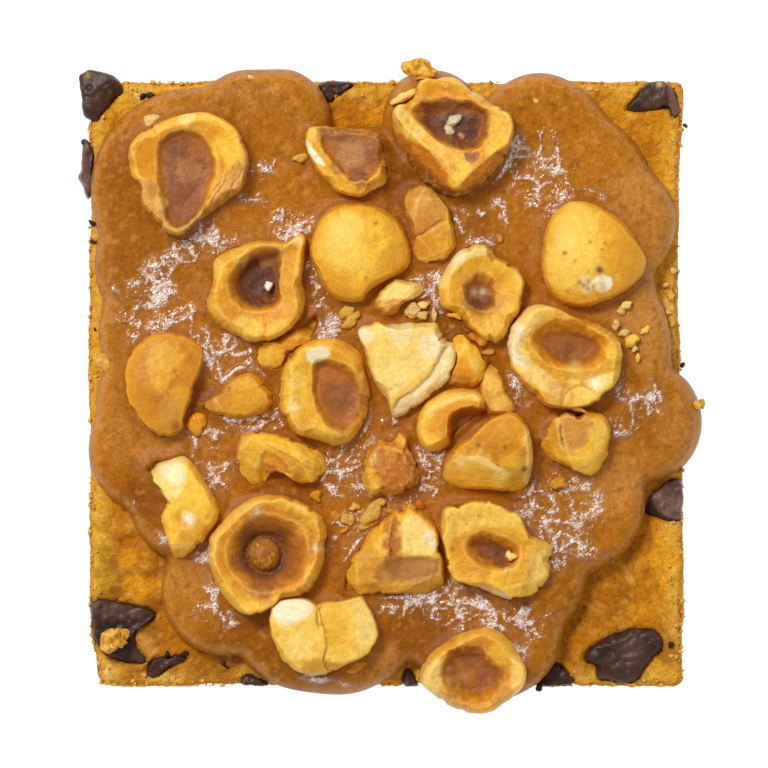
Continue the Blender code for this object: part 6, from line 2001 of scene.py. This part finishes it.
def make_edge_bits(material):
    """Small crumbs that stick to the upper edges of the cookie."""
    parts = []
    edge_x, edge_y = layer_outline(*COOKIE_SHAPE)
    drawn = np.stack([lattice(np.arange(EDGE_BITS), step, 7, 611) for step in range(5)], axis=-1)
    for number, chances in enumerate(drawn):
        place = int(chances[0] * len(edge_x)) % len(edge_x)
        inward = chances[1] ** 3 * 1.8 + 0.1
        place_x = edge_x[place] * (1 - inward / np.abs(edge_x).max())
        place_y = edge_y[place] * (1 - inward / np.abs(edge_y).max())
        if sauce_depth(np.array([place_x]), np.array([place_y]))[0] > -0.6:
            continue
        column = place_x * GRID_PER_MM + MIDDLE_COLUMN
        row = MIDDLE_ROW - place_y * GRID_PER_MM
        half = 0.8 + 2.2 * chances[2] ** 3
        base = COOKIE_TOP - (0.5 if inward < 0.5 else 0.25)
        lift = 0.20 + 0.30 * chances[2]
        seed = 1700 + number * 5
        turn = number * 53
        points, faces = bit_shape(column, row, half, half * 0.8, turn, base, lift, seed, EDGE_BIT_SIDES, 0.5)
        tone = mix(mix(CRUMB, CRUMB_PALE, 0.4 + 0.6 * chances[3]), CRUST, 0.35 * chances[4])
        colours = over(tone, (CRUST, 0.5, 0.0, 0.8, layered(points, 0.5, 1750 + number)))
        parts.append((points, faces, colours))
    gather("cookie_edge_bits", parts, material)


def make_specks(material):
    """Dark specks of chocolate on the sauce and the crust."""
    parts = []
    for number, (column, row, half) in enumerate(DARK_SPECKS):
        base = rest_height(column, row)
        seed = 1500 + number * 11
        turn = number * 47
        points, faces = bit_shape(column, row, half * 1.1, half * 0.8, turn, base, 0.35, seed, SPECK_SIDES)
        colours = over(COCOA_DARK, (COCOA, 1.0, 0.0, 0.8, layered(points, 0.5, 1550 + number)))
        parts.append((points, faces, colours))
    gather("chocolate_specks", parts, material)


# Materials


def new_material(name, roughness):
    """A Principled material with its tree and shader."""
    material = bpy.data.materials.new(name)
    material.use_nodes = True
    tree = material.node_tree
    shader = tree.nodes["Principled BSDF"]
    shader.inputs["Roughness"].default_value = roughness
    return material, tree, shader


def texture(tree, size, detail=2.0, stretch=None):
    """A noise texture with grains of the given size in millimetres, drawn out along an angle if asked."""
    place = tree.nodes.new("ShaderNodeTexCoord")
    node = tree.nodes.new("ShaderNodeTexNoise")
    node.inputs["Scale"].default_value = 1000 / size
    node.inputs["Detail"].default_value = detail
    source = place.outputs["Object"]
    if stretch:
        angle, length = stretch
        turned = tree.nodes.new("ShaderNodeMapping")
        turned.vector_type = "TEXTURE"
        turned.inputs["Rotation"].default_value = (0, 0, math.radians(angle))
        turned.inputs["Scale"].default_value = (length, 1, 1)
        tree.links.new(source, turned.inputs["Vector"])
        source = turned.outputs["Vector"]
    tree.links.new(source, node.inputs["Vector"])
    return node


def ramp(tree, source, stops):
    """A colour ramp from a value, with stops of place and grey or colour."""
    node = tree.nodes.new("ShaderNodeValToRGB")
    elements = node.color_ramp.elements
    while len(elements) < len(stops):
        elements.new(0.5)
    for element, (place, value) in zip(elements, stops):
        element.position = place
        element.color = (value, value, value, 1) if np.isscalar(value) else (*value, 1)
    tree.links.new(source, node.inputs["Fac"])
    return node.outputs["Color"]


def multiply(tree, first, second, kind="MULTIPLY"):
    """Multiply two colours, or blend them in another way."""
    node = tree.nodes.new("ShaderNodeMix")
    node.data_type = "RGBA"
    node.blend_type = kind
    node.inputs["Factor"].default_value = 1.0
    tree.links.new(first, node.inputs["A"])
    tree.links.new(second, node.inputs["B"])
    return node.outputs["Result"]


def tinted(tree, coarse, fine, low, high):
    """A colour from the piece's own tint, broken up by two grains."""
    tint = tree.nodes.new("ShaderNodeAttribute")
    tint.attribute_name = "tint"
    colour = tint.outputs["Color"]
    for size, detail in ((coarse, 3.0), (fine, 2.0)):
        grain = ramp(tree, texture(tree, size, detail).outputs["Fac"], ((0.3, low), (0.7, high)))
        colour = multiply(tree, colour, grain)
    return colour


def bump(tree, shader, layers):
    """Stack bumps on a shader, each a height socket and a depth in millimetres."""
    previous = None
    for height, depth in layers:
        node = tree.nodes.new("ShaderNodeBump")
        node.inputs["Strength"].default_value = 1.0
        node.inputs["Distance"].default_value = depth * MM
        tree.links.new(height, node.inputs["Height"])
        if previous:
            tree.links.new(previous, node.inputs["Normal"])
        previous = node.outputs["Normal"]
    tree.links.new(previous, shader.inputs["Normal"])
    return previous


# Plain looks: roughness, sizes of two grains, their darkest and palest share, bumps, and specular level
# Each bump is the size of its grain, its detail and its depth
LOOKS = {
    "roasted_hazelnut_look": (0.42, 1.2, 0.30, 0.92, 1.07, ((1.6, 6.0, 0.42), (0.3, 2.0, 0.03)), 0.25),
    "cookie_look": (0.78, 0.8, 0.22, 0.80, 1.16, ((0.7, 5.0, 0.45), (0.2, 2.0, 0.08)), 0.12),
    "brownie_look": (0.62, 0.9, 0.25, 0.80, 1.15, ((0.8, 4.0, 0.20), (0.25, 2.0, 0.06)), 0.25),
    "chocolate_look": (0.40, 0.7, 0.22, 0.85, 1.12, ((0.9, 3.0, 0.10), (0.25, 2.0, 0.04)), 0.3),
}
# Light that spreads inside a nut: share, reach of each colour, and scale in metres
NUT_GLOW = 0.07
NUT_GLOW_RADIUS = (1.0, 0.55, 0.2)
NUT_GLOW_SCALE = 0.0012


def plain_look(name):
    """A material with the piece's own tint and two bumps."""
    roughness, coarse, fine, low, high, bumps, specular = LOOKS[name]
    material, tree, shader = new_material(name, roughness)
    tree.links.new(tinted(tree, coarse, fine, low, high), shader.inputs["Base Color"])
    bump(tree, shader, [(texture(tree, size, detail).outputs["Fac"], depth) for size, detail, depth in bumps])
    shader.inputs["Specular IOR Level"].default_value = specular
    return material


def nut_material():
    """Roasted hazelnut: waxy, with a fine grain."""
    material = plain_look("roasted_hazelnut_look")
    shader = material.node_tree.nodes["Principled BSDF"]
    shader.inputs["Subsurface Weight"].default_value = NUT_GLOW
    shader.inputs["Subsurface Radius"].default_value = NUT_GLOW_RADIUS
    shader.inputs["Subsurface Scale"].default_value = NUT_GLOW_SCALE
    return material


def threads(tree, mask, size, band, dot_size, dot_range, twist):
    """Thin broken lines where a mask is high: the middle band of a twisted noise, cut by a second noise."""
    low, high = band
    rise = (high - low) * 0.3
    twisted = texture(tree, size, 3.0, (34, 2.0))
    twisted.inputs["Distortion"].default_value = twist
    stops = ((low, 0.0), (low + rise, 1.0), (high - rise, 1.0), (high, 0.0))
    lines = ramp(tree, twisted.outputs["Fac"], stops)
    dots = texture(tree, dot_size, 2.0)
    raised_dots = tree.nodes.new("ShaderNodeMath")
    raised_dots.operation = "MULTIPLY_ADD"
    raised_dots.inputs[1].default_value = 0.5
    tree.links.new(mask, raised_dots.inputs[0])
    tree.links.new(dots.outputs["Fac"], raised_dots.inputs[2])
    cut = ramp(tree, raised_dots.outputs["Value"], ((dot_range[0], 0.0), (dot_range[1], 1.0)))
    return multiply(tree, lines, cut)


def sauce_material():
    """Praline sauce: satin and granular, with a wet coat and painted pale glints where it is crinkled."""
    material, tree, shader = new_material("praline_sauce_look", 0.42)
    colour = tinted(tree, 0.6, 0.28, 0.84, 1.14)
    mask = tree.nodes.new("ShaderNodeAttribute")
    mask.attribute_name = "ripple"
    crinkle = texture(tree, 0.9, 3.0)
    crinkle.inputs["Distortion"].default_value = 1.0
    wet = tree.nodes.new("ShaderNodeMath")
    wet.operation = "MULTIPLY"
    tree.links.new(crinkle.outputs["Fac"], wet.inputs[0])
    tree.links.new(mask.outputs["Fac"], wet.inputs[1])
    normal = bump(tree, shader, (
        (texture(tree, 1.4).outputs["Fac"], 0.12),
        (texture(tree, 0.35).outputs["Fac"], 0.04),
        (wet.outputs["Value"], 0.38),
    ))
    tree.links.new(normal, shader.inputs["Coat Normal"])
    coat = ramp(tree, mask.outputs["Fac"], ((0.05, 0.0), (0.45, 1.0)))
    tree.links.new(coat, shader.inputs["Coat Weight"])
    shader.inputs["Coat Roughness"].default_value = 0.10
    shader.inputs["Specular IOR Level"].default_value = 0.14
    # Pale threads painted into the base colour where it is crinkled: painted glints of light
    broad = threads(tree, mask.outputs["Fac"], 0.55, (0.44, 0.55), 0.6, (0.83, 0.96), 1.5)
    finer = threads(tree, mask.outputs["Fac"], 0.32, (0.45, 0.54), 0.9, (0.82, 0.97), 1.3)
    painted = tree.nodes.new("ShaderNodeMix")
    painted.data_type = "RGBA"
    tree.links.new(multiply(tree, broad, finer, "LIGHTEN"), painted.inputs["Factor"])
    tree.links.new(colour, painted.inputs["A"])
    painted.inputs["B"].default_value = (*SAUCE_SHINE, 1)
    tree.links.new(painted.outputs["Result"], shader.inputs["Base Color"])
    return material


# Studio

VIEW_HEIGHT = 29.0
CAMERA_DISTANCE = 900.0
FRAME_PIXELS = 768
SENSOR_MM = 36.0
WORLD_STRENGTH = 0.66
SKY_STOPS = ((0.0, 1.0), (0.80, 1.0), (0.93, 0.22), (1.0, 0.16))
KEY_LIGHT = 0.56
KEY_SIZE = 0.13
KEY_DISTANCE = 0.60
KEY_ELEVATION = 56
KEY_TOWARDS = 128
FLOOR_HALF = 1.6
FLOOR_GREY = 0.08
CLIP_START = 0.05
CLIP_END = 20
WHITE = (1, 1, 1, 1)


def make_studio():
    """A white surround, one soft key light, a white floor and the camera above the bar."""
    scene = bpy.context.scene
    scene.view_settings.view_transform = "Standard"
    world = bpy.data.worlds.new("studio")
    scene.world = world
    world.use_nodes = True
    tree = world.node_tree
    place = tree.nodes.new("ShaderNodeTexCoord")
    apart = tree.nodes.new("ShaderNodeSeparateXYZ")
    tree.links.new(place.outputs["Generated"], apart.inputs["Vector"])
    sky = ramp(tree, apart.outputs["Z"], SKY_STOPS)
    background = tree.nodes["Background"]
    tree.links.new(sky, background.inputs["Color"])
    background.inputs["Strength"].default_value = WORLD_STRENGTH

    elevation = math.radians(KEY_ELEVATION)
    towards = math.radians(KEY_TOWARDS)
    lamp = bpy.data.lights.new("key", "AREA")
    lamp.shape = "SQUARE"
    lamp.size = KEY_SIZE
    solid_angle = KEY_SIZE**2 / KEY_DISTANCE**2
    radiance = KEY_LIGHT * math.pi / (solid_angle * math.sin(elevation))
    lamp.energy = radiance * math.pi * KEY_SIZE**2
    key = bpy.data.objects.new("key", lamp)
    key.location = (
        KEY_DISTANCE * math.cos(elevation) * math.cos(towards),
        KEY_DISTANCE * math.cos(elevation) * math.sin(towards),
        KEY_DISTANCE * math.sin(elevation) + VIEW_HEIGHT * MM,
    )
    key.rotation_euler = (math.pi / 2 - elevation, 0, towards + math.pi / 2)
    scene.collection.objects.link(key)

    floor_mesh = bpy.data.meshes.new("floor")
    corners = [(x * FLOOR_HALF, y * FLOOR_HALF, 0) for x, y in ((-1, -1), (1, -1), (1, 1), (-1, 1))]
    floor_mesh.from_pydata(corners, [], [(0, 1, 2, 3)])
    floor = bpy.data.objects.new("floor", floor_mesh)
    scene.collection.objects.link(floor)
    material, _, shader = new_material("floor", 0.9)
    shader.inputs["Base Color"].default_value = (FLOOR_GREY, FLOOR_GREY, FLOOR_GREY, 1)
    shader.inputs["Emission Color"].default_value = WHITE
    shader.inputs["Emission Strength"].default_value = 1.0
    shader.inputs["Specular IOR Level"].default_value = 0.1
    floor_mesh.materials.append(material)

    lens = bpy.data.cameras.new("camera")
    lens.sensor_width = SENSOR_MM
    lens.lens = SENSOR_MM * CAMERA_DISTANCE / (FRAME_PIXELS / GRID_PER_MM)
    lens.clip_start = CLIP_START
    lens.clip_end = CLIP_END
    camera = bpy.data.objects.new("camera", lens)
    centre_x, centre_y = to_plan(FRAME_PIXELS / 2, FRAME_PIXELS / 2)
    camera.location = (centre_x * MM, centre_y * MM, (VIEW_HEIGHT + CAMERA_DISTANCE) * MM)
    camera.rotation_euler = (0, 0, 0)
    scene.collection.objects.link(camera)
    scene.camera = camera


def main():
    """Make the studio, then every piece with its material."""
    make_studio()
    nut_look = nut_material()
    chocolate_look = plain_look("chocolate_look")
    cookie_look = plain_look("cookie_look")
    make_sauce(sauce_material())
    make_cookie(cookie_look)
    make_brownie(plain_look("brownie_look"))
    for nut in HAZELNUTS:
        make_nut(nut, nut_look)
    for chunk in CHOCOLATE:
        make_chocolate(chunk, chocolate_look)
    for crumb in CRUMBS:
        make_crumb(crumb, cookie_look)
    make_edge_bits(cookie_look)
    make_flakes(nut_look)
    make_specks(chocolate_look)


main()
